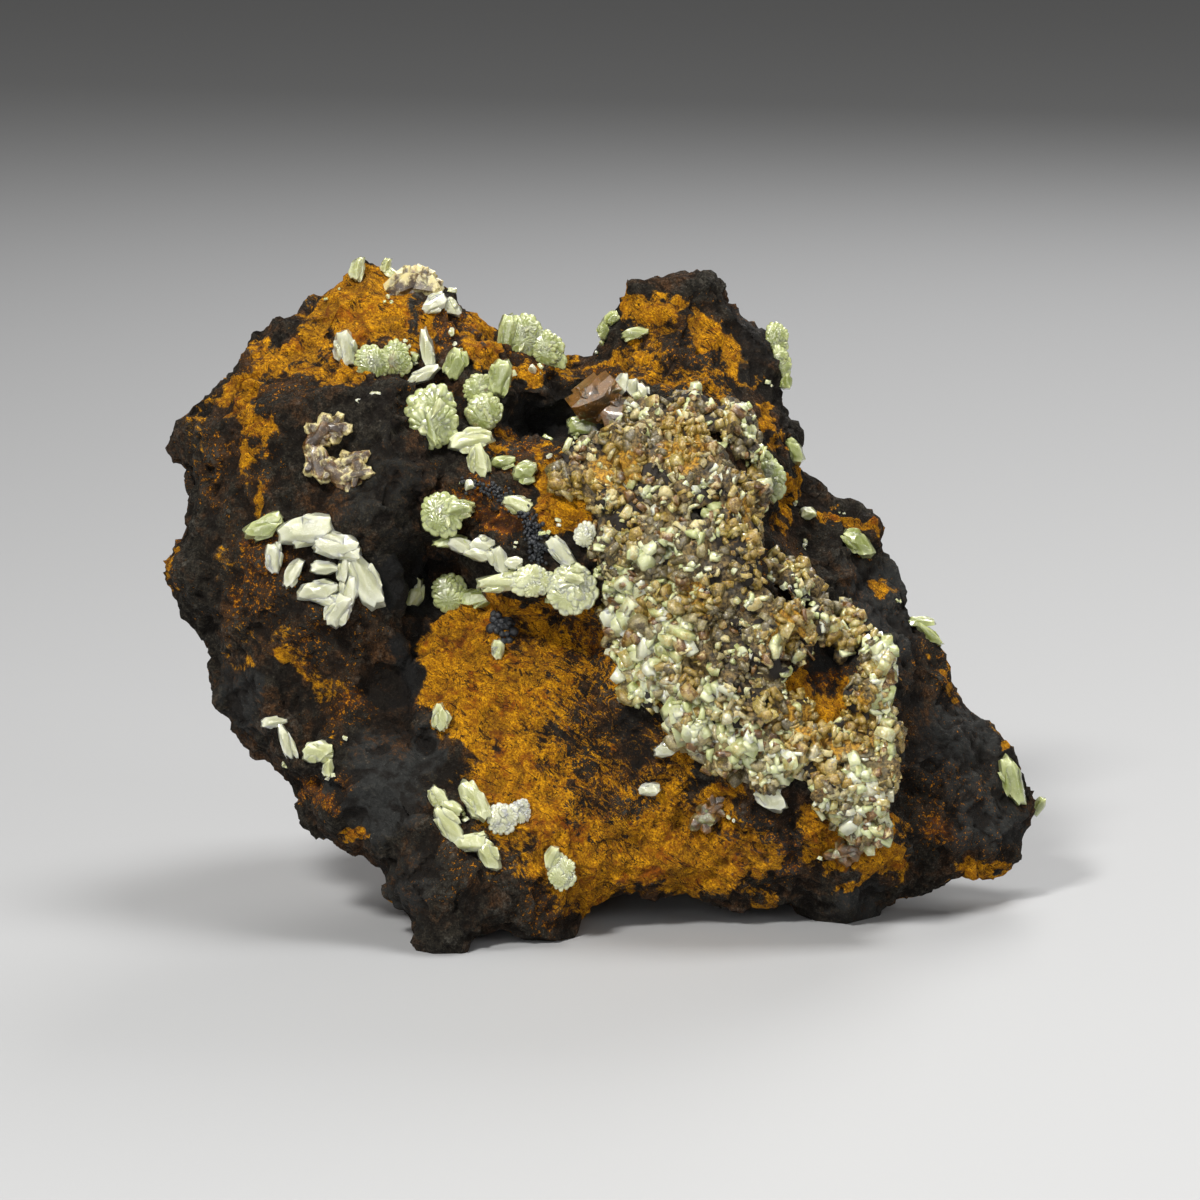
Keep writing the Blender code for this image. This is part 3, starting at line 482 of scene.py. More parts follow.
limonite, shade, shader = new_finish("limonite")
clouds = shade.grain(3.2, 4, 0.65).spread()
patches = shade.grain(1.1, 5, 0.7, 0.8).spread()
specks = shade.grain(0.45, 4, 0.75).spread()
dust = shade.grain(0.2, 2, 0.7).spread()
streaks = shade.grain(1.3, 6, 0.75, 1.2, comb=3).spread()
fibres = shade.grain(0.5, 4, 0.7, 1.0, comb=3).spread()
cracks = shade.grain(1.7, 3, 0.6, 0.8, comb=2.5).spread().crossings(0.05) + fibres.crossings(0.06) * 0.7
hollow = shade.stored("hollow")
ochre_edge = clouds * 0.28 + patches * 0.28 + specks * 0.2 + streaks * 0.36 + hollow * 0.1
veins = shade.grain(2.4, 5, 0.7, 1.0, comb=2).spread().crossings(0.16) + patches.crossings(0.12) * 0.6
marbling = shade.stored("marbled") * (fibres * 0.5 + streaks * 0.5 + 0.12 - veins * 0.55)
ochre_cover = shade.stored("ochre") * 1.12 - shade.stored("soot") * 0.5 - ochre_edge - marbling
ochre_cover = ochre_cover.ramp(-0.1, 0.08)
rust_edge = patches * 0.35 + specks * 0.5 + dust * 0.25
rust_cover = (shade.stored("rust") * 0.5 + 0.1 - rust_edge).ramp(-0.12, 0.14)
grey_cover = (shade.stored("grey") + 0.05 - specks * 0.6 - patches * 0.3).ramp(-0.1, 0.3)
fine = (specks * 0.6 + dust * 0.4).ramp(0.15, 0.9)
broad = shade.grain(5.5, 3, 0.6, 0.6).spread()
dark_stone = fine.mix(linear(6, 5, 4), linear(54, 49, 40))
brown_stone = fine.mix(linear(24, 14, 6), linear(92, 62, 34))
grey_stone = (patches * 0.6 + specks * 0.4).mix(linear(16, 17, 17), linear(58, 59, 58))
rust = (dust * 0.4 + specks * 0.4 + fibres * 0.2).ramp(0.2, 0.7).mix(linear(26, 14, 4), linear(126, 66, 8))
rust = (1 - specks * 0.55 - dust * 0.45).ramp(0.52, 0.8).mix(rust, linear(206, 134, 18))
ochre = (fibres * 0.4 + dust * 0.6).ramp(0.15, 0.85).mix(linear(124, 72, 0), linear(226, 162, 16))
ochre = (patches * 0.5 + streaks * 0.5).ramp(0.4, 0.85).mix(ochre, linear(140, 84, 4))
orange = specks.mix(linear(84, 42, 4), linear(164, 84, 6))
ochre = ((clouds * 0.55 + patches * 0.45).ramp(0.52, 0.8) * 0.85).mix(ochre, orange)
ochre = (cracks * 0.75).ramp(0.2, 0.8).mix(ochre, linear(50, 30, 8))
colour = (broad * 0.6 + patches * 0.4).ramp(0.42, 0.8).mix(dark_stone, brown_stone)
colour = grey_cover.mix(colour, grey_stone)
# Painted highlight: raised points of the relief are painted a lighter grey.
painted_edge_highlight = (1 - hollow).ramp(0.55, 0.95) * specks.ramp(0.3, 0.9) * 0.6
colour = painted_edge_highlight.mix(colour, linear(78, 76, 70))
# Painted glints: the brightest specks are painted a light grey.
colour = ((specks * 0.5 + dust * 0.5).ramp(0.8, 0.95) * 0.5).mix(colour, linear(128, 126, 118))
colour = rust_cover.mix(colour, rust)
colour = ochre_cover.mix(colour, ochre)
# Near black where sooty, and as painted shade in the valley, vug and channel.
soot_and_shade_cover = (shade.stored("soot") - specks * 0.5 - patches * 0.3).ramp(-0.1, 0.3)
colour = soot_and_shade_cover.mix(colour, linear(17, 17, 17))
# Painted shade: the deepest crevices of the relief are darkened, less so under ochre.
colour = (hollow.ramp(0.6, 1.0) * (0.8 - ochre_cover * 0.4)).mix(colour, linear(16, 10, 5))
colour.feed(shader, "Base Color")
sheen = (specks * 0.5 + dust * 0.5).ramp(0.55, 0.85) * 0.5 * (1 - ochre_cover)
(1 - sheen - soot_and_shade_cover * 0.25 - grey_cover * 0.15).feed(shader, "Roughness")
relief_height = patches * 0.5 + specks * 0.45 + dust * 0.25 + fibres * 0.15 - cracks * 0.15
relief_height.emboss(shader, 1.0, 0.32 * MM)
shader.inputs["Specular IOR Level"].default_value = 0.24

matrix = add_object("limonite_matrix", rock_mesh, limonite)
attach(matrix, "root")
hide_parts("matrix")

# The single crystals. Cerussite, lead carbonate: blunt spindles and tablets 1 to 6 mm long, cream to
# yellow-green with a pearly lustre, and rosettes of twins fanned out from one root. Each one grew out
# of the rock, so it is rooted a little way behind the face that its solid shows.
Crystal = namedtuple("Crystal", "habit across down length width turn lean")


def tablet(across, down, length, width, turn=0, lean=0):
    """A blunt six-sided crystal, its long axis turned anticlockwise from level."""
    return Crystal("tablet", across, down, length * MM, width * MM, math.radians(turn), math.radians(lean))


def rosette(across, down, length, width, turn=0, lean=0):
    """A flat rosette of twinned crystals."""
    return Crystal("rosette", across, down, length * MM, width * MM, math.radians(turn), math.radians(lean))


# Each row gives the middle in pixels, a length and a width in millimetres, and a turn and a lean in
# degrees. The names are those of the solids.
CRYSTALS = {
    "peak_crystal": [tablet(357, 268, 2.4, 1.7, 70)],
    "skyline_chips": [tablet(385, 261, 1.6, 1.1, 60), tablet(391, 270, 1.7, 1.2, -20)],
    "upper_left_barrel": [tablet(345, 349, 3.5, 2.4, 108)],
    "upper_left_rosette": [rosette(372, 362, 3.9, 3.4), rosette(396, 359, 3.8, 3.0, 100)],
    "brown_skyline_plate": [tablet(405, 285, 4.2, 3.0, 25), tablet(424, 286, 3.8, 3.2, -20)],
    "white_upper_crystals": [tablet(434, 304, 2.7, 1.9, 35), tablet(450, 307, 2.4, 1.6, -40)],
    "upper_gully_plate": [tablet(427, 350, 4.2, 1.5, 100), tablet(423, 375, 3.5, 1.6, 28)],
    "upper_gully_barrel": [tablet(455, 364, 3.2, 2.3, 80)],
    "great_rosette": [rosette(431, 416, 6.2, 5.6, 80), tablet(432, 428, 3.6, 1.5, 112, 20)],
    "stacked_rosettes": [
        rosette(479, 388, 3.4, 2.8, 20), rosette(484, 412, 4.2, 3.5, 60), tablet(500, 377, 3.4, 2.4, 80),
    ],
    "hat_crystal": [tablet(470, 440, 4.2, 2.2, 8), tablet(479, 461, 3.5, 2.0, 100)],
    "skyline_rosette": [
        tablet(506, 338, 4.6, 2.0, 85), rosette(527, 336, 4.8, 4.0, 110), rosette(548, 350, 4.6, 3.2, 130),
    ],
    "horn_foot_chips": [tablet(604, 330, 1.9, 1.5, 80), tablet(611, 318, 1.8, 1.4, 40)],
    "horn_lens": [tablet(635, 333, 2.7, 1.4, 8)],
    "vug_glints": [
        tablet(622, 384, 2.2, 1.6, 80), tablet(633, 388, 1.8, 1.6, 100), tablet(644, 395, 2.5, 1.6, 105),
    ],
    "amber_vug_crystal": [tablet(600, 405, 5.0, 3.6, 35, 20), tablet(622, 412, 4.2, 3.0, 20)],
    "green_vug_crystal": [tablet(582, 427, 2.8, 2.3, 10)],
    "vug_lip_crystal": [tablet(525, 472, 2.5, 2.1, 20)],
    "shaded_lens": [tablet(502, 462, 2.6, 1.5, 10)],
    "ledge_top_lens": [tablet(517, 504, 2.9, 1.8, -15)],
    "ledge_rosette": [
        rosette(442, 515, 4.9, 3.9, 95), tablet(459, 508, 2.6, 2.0),
        tablet(450, 541, 3.4, 1.4, 5),
    ],
    "ledge_edge_whites": [
        tablet(462, 546, 3.0, 1.7, -20), tablet(482, 545, 2.6, 1.9, 10),
        tablet(480, 555, 3.2, 1.4, -10), tablet(500, 561, 2.7, 1.9, 115), tablet(513, 563, 1.9, 1.4, 10),
    ],
    "hollow_rosette": [rosette(450, 593, 4.2, 3.5, 100), tablet(477, 597, 3.5, 2.0, 12)],
    "shelf_rosette": [tablet(502, 582, 4.8, 2.0, 5), rosette(532, 582, 4.4, 3.2, 0)],
    "toothed_rosette": [rosette(572, 590, 5.3, 4.9, 40), tablet(574, 577, 1.9, 1.7, 5)],
    "leaning_lens": [tablet(561, 552, 3.4, 1.9, 135)],
    "small_mound_rosette": [rosette(585, 534, 2.8, 2.1, 80)],
    "face_white_crystal": [tablet(498, 650, 2.0, 1.5, 95)],
    "face_yellow_lens": [tablet(441, 718, 2.8, 1.8, 96)],
    "left_band_barrel": [tablet(263, 528, 4.0, 2.2, 20)],
    "left_band_great_tablets": [tablet(304, 530, 5.3, 3.2, 14), tablet(335, 546, 4.4, 2.7, -4)],
    "left_band_white_1": [tablet(273, 559, 2.9, 1.8, 98)],
    "left_band_white_2": [tablet(292, 573, 3.1, 1.7, 58)],
    "left_band_white_3": [tablet(324, 568, 2.7, 1.5, 0)],
    "left_band_seed": [
        tablet(365, 577, 6.3, 2.9, 118, 10), tablet(348, 593, 3.4, 2.0, 84), tablet(343, 570, 2.6, 1.3, 88),
        tablet(337, 611, 3.3, 2.9, 70), tablet(317, 592, 4.0, 2.4, 10),
    ],
    "left_band_wedge": [tablet(405, 600, 4.3, 2.1, 68)],
    "brown_reticulated_twin": [
        tablet(318, 436, 4.2, 2.0, 55), tablet(333, 428, 2.6, 1.8, 5), tablet(317, 462, 3.8, 2.4, -60),
        tablet(336, 474, 4.2, 2.0, -35), tablet(358, 474, 2.8, 1.6, 20), tablet(352, 461, 3.0, 1.6, 22),
    ],
    "left_slab_crystals": [tablet(274, 722, 2.6, 1.3, 8), tablet(286, 742, 3.7, 1.4, 108)],
    "left_slab_plate": [tablet(317, 752, 3.0, 2.4, 10), tablet(328, 768, 1.8, 1.3, 80)],
    "foot_chips": [tablet(439, 798, 2.4, 1.8, 130), tablet(452, 808, 2.1, 1.6, 150)],
    "foot_chain": [
        tablet(448, 826, 4.2, 2.1, 128), tablet(469, 843, 3.2, 2.0, 10), tablet(488, 855, 3.6, 2.1, 125),
    ],
    "foot_plate": [tablet(478, 800, 4.3, 2.3, 122, 15)],
    "foot_grey_rosette": [rosette(503, 819, 3.5, 3.0, 70), rosette(521, 812, 2.7, 2.0, 95)],
    "foot_low_rosette": [tablet(551, 858, 2.2, 1.6, 75), rosette(561, 873, 3.6, 2.8, 100)],
    "slope_lens": [tablet(669, 749, 3.0, 1.7, 14)],
    "slope_small_lens": [tablet(649, 790, 2.2, 1.5, 12)],
    "slope_plate": [tablet(704, 819, 2.4, 1.8, 20), tablet(715, 809, 1.9, 1.3, 50)],
    "bright_lens": [tablet(770, 797, 3.8, 2.7, 135)],
    "low_ledge_pair": [tablet(842, 853, 2.6, 1.4, 10), tablet(853, 848, 1.3, 1.2, 0)],
    "right_skyline_rosette": [
        rosette(777, 338, 3.4, 2.3, 100), rosette(782, 362, 3.6, 1.9, 105), tablet(787, 381, 1.6, 1.3, 90),
    ],
    "right_green_lens": [tablet(794, 451, 2.8, 2.0, 135)],
    "serrated_rosette": [rosette(769, 480, 4.8, 3.3, 95)],
    "right_round_crystal": [tablet(808, 512, 1.6, 1.5, 0)],
    "right_half_lens": [tablet(860, 543, 3.6, 2.2, 140)],
    "right_blades": [tablet(920, 622, 3.0, 1.3, 0), tablet(930, 635, 3.2, 1.3, 140)],
    "right_tip_lens": [tablet(1014, 782, 4.9, 2.1, 112)],
    "right_tip_chip": [tablet(1041, 806, 2.0, 1.3, 70)],
}
PEARLY, CREAM, LIME, HONEY, SMOKY, DULL = 0.0, 0.3, 0.62, 0.84, 1.0, 1.3     # hues, along one scale
HUES = {
    PEARLY: (
        "upper_left_barrel", "white_upper_crystals", "upper_gully_plate", "left_band_seed",
        "left_band_great_tablets", "left_band_white_1", "left_band_white_2", "left_band_white_3",
        "ledge_edge_whites", "slope_lens", "slope_small_lens", "bright_lens",
        "leaning_lens", "left_slab_crystals", "vug_glints", "foot_grey_rosette", "small_mound_rosette",
    ),
    LIME: (
        "upper_left_rosette", "great_rosette", "stacked_rosettes", "skyline_rosette", "left_band_barrel",
        "hollow_rosette", "upper_gully_barrel", "green_vug_crystal", "horn_foot_chips",
        "right_skyline_rosette", "right_green_lens", "serrated_rosette", "right_half_lens", "right_blades",
        "right_tip_lens", "right_tip_chip", "shaded_lens", "vug_lip_crystal", "ledge_rosette", "horn_lens",
    ),
    HONEY: ("amber_vug_crystal", "slope_plate", "low_ledge_pair"),
    SMOKY: ("brown_reticulated_twin", "brown_skyline_plate"),
}
HUE_OF = {name: hue for hue, names in HUES.items() for name in names}      # the others are cream
ROOT = 0.9 * MM                     # how far a crystal runs on behind what its solid shows
HOLD = 0.6 * MM                     # how deep each group reaches into the broken skin of the rock
TABLET_THICKNESS = 0.75             # of a crystal's width
ROSETTE_THICKNESS = 0.42
IRON_HUE = 0.78                     # crystals of a higher hue are stained by iron
FLAKE_WIDTH = 2.9 * MM              # iron stained crystals wider than this are broken flakes
STEPPED_WIDTH = 1.7 * MM            # tablets wider than this have steps along both sides


def cut_tablet(chance, softened=True):
    """The points and faces of a slab one unit each way, its ends and upper edges cut off by planes.
    A softened one is rounded and uneven; the others keep their edges."""
    corners = (-1, 1) if softened else (chance.choice((-1, 1)),)
    shape = bmesh.new()
    bmesh.ops.create_cube(shape, size=1)
    cuts = []
    for end in (-1, 1):
        cuts.append(((end * 0.55, chance.uniform(-0.3, 0.3), 0.8), chance.uniform(0.46, 0.56)))
        cuts.append(((chance.uniform(-0.3, 0.3), end * 0.62, 0.75), chance.uniform(0.42, 0.54)))
        for side in corners:
            slope = math.radians(chance.uniform(30, 60))
            slant = (end * math.cos(slope), side * math.sin(slope), chance.uniform(0, 0.2))
            cuts.append((slant, chance.uniform(0.40, 0.55)))
    cuts.append(((chance.uniform(-0.15, 0.15), chance.uniform(-0.25, 0.25), 1), chance.uniform(0.44, 0.5)))
    for slant, reach in cuts:
        outward = Vector(slant).normalized()
        everything = shape.verts[:] + shape.edges[:] + shape.faces[:]
        bmesh.ops.bisect_plane(shape, geom=everything, plane_co=outward * reach, plane_no=outward,
                               clear_outer=True)
        bmesh.ops.holes_fill(shape, edges=[edge for edge in shape.edges if edge.is_boundary])
    bmesh.ops.dissolve_degenerate(shape, dist=0.01, edges=shape.edges[:])
    if softened:
        bmesh.ops.bevel(shape, geom=shape.edges[:], offset=0.06, segments=2, profile=0.5, affect="EDGES",
                        clamp_overlap=True)
        bmesh.ops.triangulate(shape, faces=[face for face in shape.faces if len(face.verts) > 4])
        long_edges = [edge for edge in shape.edges if edge.calc_length() > 0.12]
        bmesh.ops.subdivide_edges(shape, edges=long_edges, cuts=1)
        bmesh.ops.smooth_vert(shape, verts=shape.verts[:], factor=0.5)
        for vert in shape.verts:
            vert.co += noise.noise_vector(vert.co * 2.6) * 0.12
    else:
        bmesh.ops.smooth_vert(shape, verts=shape.verts[:], factor=0.3)
    return points_and_faces(shape)


def points_and_faces(shape):
    """A bmesh's points as an array and its faces as lists of their numbers; the bmesh is freed."""
    shape.verts.index_update()
    points = np.array([vert.co[:] for vert in shape.verts])
    faces = [[vert.index for vert in face.verts] for face in shape.faces]
    shape.free()
    return points, faces


# A rosette plate's rings of points: how far out each is and how high, from its middle to its root.
PLATE_RINGS = (
    (0.0, 0.0), (0.35, -0.01), (0.65, -0.04), (0.86, -0.08), (0.96, -0.15), (1.0, -0.28), (0.92, -1.0),
)


def scalloped_plate(chance):
    """One plate of a rosette, a unit across: a low dome with a finely scalloped rim, down to Z = -1."""
    lobes = chance.choice((11, 13, 14, 16))
    steps = 4
    notches = [chance.uniform(0.05, 0.17) for _ in range(lobes)]
    swells = [(order, chance.uniform(0.03, 0.08), chance.uniform(0, math.tau)) for order in (2, 3, 4)]
    shape = bmesh.new()
    rings = []
    for out, rise in PLATE_RINGS:
        ring = []
        for sector in range(lobes * steps):
            lobe, part = divmod(sector, steps)
            turn = math.tau * sector / (lobes * steps)
            dip = 1 - math.sin(math.pi * part / steps) ** 0.5
            swell = sum(size * math.sin(order * turn + start) for order, size, start in swells)
            reach = 1.02 - dip * notches[lobe] - swell
            height = rise - dip * 0.035 * out ** 2 + chance.uniform(-0.01, 0.01)
            across, up = math.cos(turn) * out * reach / 2, math.sin(turn) * out * reach / 2
            ring.append(shape.verts.new((across, up, height)))
        rings.append(ring)
    for ring, following in zip(rings, rings[1:]):
        for sector in range(len(ring)):
            beside = (sector + 1) % len(ring)
            shape.faces.new((ring[sector], following[sector], following[beside], ring[beside]))
    shape.faces.new(rings[-1][::-1])
    middle = [vert for vert in shape.verts if vert.co.xy.length < 0.002]
    bmesh.ops.pointmerge(shape, verts=middle, merge_co=(0, 0, 0))
    return points_and_faces(shape)


class Heap:
    """Gathers many small crystals into one mesh, with the numbers that the material reads."""

    def __init__(self):
        self.points, self.faces, self.numbers = [], [], []
        self.count = 0

    def add(self, form, matrix, hue, stain, phase):
        """One crystal: its unit form, where it goes and how large, its hue, stain and striping."""
        points, faces = form
        turned = points @ np.array(matrix.to_3x3()).T + np.array(matrix.translation)
        self.points.append(turned)
        self.faces += [tuple(index + self.count for index in face) for face in faces]
        rim = np.hypot(points[:, 0], points[:, 1]) * 2
        stripes = points[:, 1] * 4 + phase
        same = np.ones(len(points))
        self.numbers.append(np.column_stack([same * hue, same * stain, stripes, rim]))
        self.count += len(points)

    def mesh(self, name, crease=38):
        """The mesh, its faces shaded as one smooth skin but for edges sharper than that many degrees."""
        points = inside_box(np.concatenate(self.points))
        mesh = bpy.data.meshes.new(name)
        mesh.from_pydata(points.tolist(), [], self.faces)
        for label, values in zip(("hue", "stain", "stripes", "rim"), np.concatenate(self.numbers).T):
            add_attribute(mesh, label, values)
        mesh.shade_smooth()
        mesh.set_sharp_from_angle(angle=math.radians(crease))
        return mesh


# Seven unit forms of each kind, for the crystals to be drawn from.
shaper = random.Random(5)
TABLETS = [cut_tablet(shaper) for _ in range(7)]
STUBS = [cut_tablet(shaper, softened=False) for _ in range(7)]
PLATES = [scalloped_plate(shaper) for _ in range(7)]


def sized(length, width, depth):
    """The matrix that gives a unit form its size."""
    return Matrix.Diagonal((length, width, depth, 1))


def grow_tablet(heap, crystal, upright, hue, stain, chance):
    """A tablet with lower ones grown along its sides, so that its outline is stepped and notched."""
    depth = crystal.width * TABLET_THICKNESS + ROOT
    broken = hue > IRON_HUE and crystal.width > FLAKE_WIDTH
    forms = STUBS if broken else TABLETS
    main = Matrix.Translation((0, 0, -depth * 0.45)) @ sized(crystal.length, crystal.width * 0.86, depth)
    heap.add(chance.choice(forms), upright @ main, hue, stain, chance.uniform(0, 9))
    sides = (chance.choice((-1, 1)),)
    if crystal.width > STEPPED_WIDTH:
        sides = (-1, 1) + sides
    if broken:
        sides = (-1, 1, -1, 1, 1)
    for side in sides:
        share = chance.uniform(0.45, 0.8)
        along = chance.uniform(-0.2, 0.2) * crystal.length
        aside = side * chance.uniform(0.12, 0.26) * crystal.width
        shift = Vector((along, aside, depth * chance.uniform(-0.62, -0.5)))
        askew = Matrix.Rotation(chance.uniform(-0.3, 0.3), 4, "Z")
        askew = askew @ Matrix.Rotation(side * chance.uniform(-0.3, 0), 4, "X")
        size = sized(crystal.length * share, crystal.width * chance.uniform(0.45, 0.65), depth)
        heap.add(chance.choice(forms), upright @ Matrix.Translation(shift) @ askew @ size,
                 hue + chance.uniform(-0.05, 0.05), stain, chance.uniform(0, 9))


def grow_rosette(heap, crystal, upright, hue, stain, chance):
    """A broad plate under three or four smaller ones that fan out round it, and a ridge of tablets."""
    depth = crystal.width * ROSETTE_THICKNESS + ROOT
    broad = Matrix.Translation((0, 0, -0.16 * depth)) @ sized(crystal.length, crystal.width, depth * 0.8)
    heap.add(chance.choice(PLATES), upright @ broad, hue, stain, chance.uniform(0, 9))
    count = chance.choice((3, 4))
    for petal in range(count):
        turn = math.tau * (petal + chance.uniform(-0.25, 0.25)) / count + crystal.length / MM
        share = chance.uniform(0.52, 0.78)
        shift = Vector((math.cos(turn) * crystal.length, math.sin(turn) * crystal.width, 0)) * 0.2
        shift.z = depth * chance.uniform(-0.1, 0.02)
        fan = Matrix.Rotation(turn, 4, "Z") @ Matrix.Rotation(chance.uniform(0.08, 0.26), 4, "Y")
        size = sized(crystal.width * share, crystal.width * share * 1.15, depth * 0.8)
        heap.add(chance.choice(PLATES), upright @ Matrix.Translation(shift) @ fan @ size,
                 hue + chance.uniform(-0.06, 0.06), stain, chance.uniform(0, 9))
    ridge = chance.uniform(0, math.tau)
    for step in (-0.7, 0.8):
        shift = Vector((math.cos(ridge), math.sin(ridge), 0)) * step * crystal.width
        shift = shift * chance.uniform(0.08, 0.22)
        shift.z = depth * chance.uniform(-0.5, -0.44)
        share = chance.uniform(0.22, 0.38)
        spin = Matrix.Rotation(ridge + chance.uniform(-0.7, 0.7), 4, "Z")
        spin = spin @ Matrix.Rotation(chance.uniform(-0.3, 0.3), 4, "X")
        size = sized(crystal.width * share * 1.5, crystal.width * share, depth)
        heap.add(chance.choice(TABLETS), upright @ Matrix.Translation(shift) @ spin @ size,
                 hue - 0.2, stain, chance.uniform(0, 9))


def grow_teeth(heap, crystal, upright, hue, chance):
    """Small crystals that stand out like teeth from the rim of a honey or brown one."""
    depth = crystal.width * 0.5 + ROOT
    teeth = 4
    for tooth in range(teeth):
        turn = math.tau * (tooth + chance.uniform(-0.3, 0.3)) / teeth
        along, aside = math.cos(turn) * crystal.length, math.sin(turn) * crystal.width
        spot = Vector((along * 0.34, aside * 0.34, -depth * 0.56))
        size = chance.uniform(1.5, 2.1) * MM
        stand = Matrix.Translation(spot) @ Matrix.Rotation(turn + chance.uniform(-0.3, 0.3), 4, "Z")
        form = chance.choice(TABLETS)
        heap.add(form, upright @ stand @ sized(size, size * chance.uniform(0.6, 0.8), depth),
                 hue + chance.uniform(-0.03, 0.03), chance.uniform(0, 0.25), chance.uniform(0, 9))


def grow(heap, crystal, spot, hue, chance):
    """A crystal of either habit, facing the way it is seen."""
    upright = Matrix.Translation(spot) @ FACING @ Matrix.Rotation(crystal.turn, 4, "Z")
    upright = upright @ Matrix.Rotation(crystal.lean, 4, "X")
    habit = grow_tablet if crystal.habit == "tablet" else grow_rosette
    habit(heap, crystal, upright, hue, chance.uniform(0, 0.25), chance)
    if hue > IRON_HUE:
        grow_teeth(heap, crystal, upright, SMOKY if hue > (HONEY + SMOKY) / 2 else HONEY, chance)


def sunk(points):
    """A group's points, moved into the rock as one until the deepest of them is well held."""
    deepest, outward = math.inf, Vector()
    for point in points[::3]:
        skin, normal, _, _ = skin_tree.find_nearest(Vector(point))
        depth = (Vector(point) - skin).dot(normal)
        if depth < deepest:
            deepest, outward = depth, normal
    return points - np.array(outward) * max(deepest + HOLD, 0)


cerussite, shade, shader = new_finish("cerussite")
mist = shade.grain(1.2, 4, 0.65).spread()
flecks = shade.grain(0.2, 3, 0.7).spread()
# Each crystal is lighter towards its rim: partly the paler edges the crystals have, partly painted rim
# light.
rim = (shade.stored("rim") + (mist - 0.5) * 0.3).ramp(0.45, 1.0)
hue = shade.stored("hue") + (mist - 0.5) * 0.16
pearl = rim.mix(linear(176, 178, 150), linear(206, 208, 190))
cream = rim.mix(linear(168, 172, 122), linear(202, 206, 168))
lime = rim.mix(linear(128, 138, 74), linear(176, 184, 130))
honey = (mist * 0.6 + flecks * 0.2 + rim * 0.3).ramp(0.2, 0.9).mix(linear(44, 25, 0), linear(116, 76, 4))
smoke = (mist * 0.4 + flecks * 0.3 + rim * 0.4).ramp(0.3, 0.8).mix(linear(74, 56, 20), linear(202, 190, 138))
dull = flecks.mix(linear(42, 36, 22), linear(118, 105, 62))
body_colour = hue.ramp(0.0, 0.3).mix(pearl, cream)
body_colour = hue.ramp(0.3, 0.62).mix(body_colour, lime)
body_colour = hue.ramp(0.68, 0.84).mix(body_colour, honey)
body_colour = hue.ramp(0.94, 1.02).mix(body_colour, smoke)
body_colour = hue.ramp(1.05, 1.3).mix(body_colour, dull)
rusted = (shade.stored("stain") + (mist - 0.5) * 0.4 + (flecks - 0.5) * 0.25).ramp(0.35, 0.75) * 0.8
body_colour = rusted.mix(body_colour, flecks.mix(linear(100, 78, 8), linear(184, 154, 56)))
body_colour = (flecks.ramp(0.75, 1.0) * 0.3).mix(body_colour, linear(240, 240, 234))
body_colour.feed(shader, "Base Color")
stripes = shade.stored("stripes") * 22 + mist * 5
stripe_height = shade.node("ShaderNodeMath", {"operation": "SINE"}, {0: stripes})
(stripe_height * 0.03 + flecks * 0.2 + mist * 0.7).emboss(shader, 0.7, 0.12 * MM)
iron = hue.ramp(0.66, 0.84)
(flecks * 0.16 + mist * 0.1 + iron * 0.25 + 0.06).feed(shader, "Roughness")
waxy = {
    "IOR": 1.9, "Specular IOR Level": 0.35, "Coat Roughness": 0.07,
    "Subsurface Weight": 0.8, "Subsurface Radius": (1.0, 0.95, 0.6), "Subsurface Scale": 0.4 * MM,
}
for name, value in waxy.items():
    shader.inputs[name].default_value = value
(0.8 - iron * 0.6).feed(shader, "Coat Weight")

for name, crystals in CRYSTALS.items():
    chance = random.Random(name)
    heap = Heap()
    solid = welded(name)
    solid_tree = BVHTree.FromBMesh(solid)
    solid.free()
    for crystal in crystals:
        line = (place(crystal.across, crystal.down) - EYE).normalized()
        hit = solid_tree.ray_cast(EYE, line)[0]
        if hit is None:
            hit = solid_tree.find_nearest(EYE + line * SIGHT_DISTANCE)[0]
        hue = HUE_OF.get(name, CREAM) + chance.uniform(-0.07, 0.07)
        grow(heap, crystal, hit, hue, chance)
    heap.points = [sunk(np.concatenate(heap.points))]
    group = add_object(name + "_crystal", heap.mesh(name), cerussite)
    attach(group, "root")
    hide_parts(name)

# The crystal crust. The same mineral again, in thousands of stubby crystals 0.5 to 2 mm long that crowd
# each other over the mound. They are clean and cream along its lower edge, and dull, iron stained
# and broken higher up. They are grown on a granular sheet that shows dark and rusty between them,
# with painted shade darkening the sheet's hollows.
CLEAN_BAND = [
    (650, 660, 30, 66, -30), (700, 730, 56, 36, -30), (770, 760, 36, 22, -20), (860, 800, 26, 46),
    (884, 690, 12, 60, 0, 0.9), (630, 600, 18, 50), (850, 640, 40, 10, -40, 0.7),
    (660, 560, 30, 40, 0, 0.5),
]
RUSTY_BAND = [
    (682, 440, 20, 30), (700, 600, 18, 18, 0, 0.9), (740, 520, 12, 34, 0, 0.6), (830, 722, 46, 34),
    (620, 470, 34, 24, 0, 0.6), (790, 630, 24, 24, 0, 0.8),
]
CRUST_CROWDING = (1.2, 2.3)         # crystals a square millimetre, in the dull part and in the clean band
CRUST_LENGTH = (1.1, 1.6)           # millimetres, in the same two parts
CRUST_EDGE = {"front": 0.38 * MM, "back": 0.9 * MM}
CRUST_HOLD = 0.1 * MM               # crystals grow only where the sheet is this far out of the solid rock

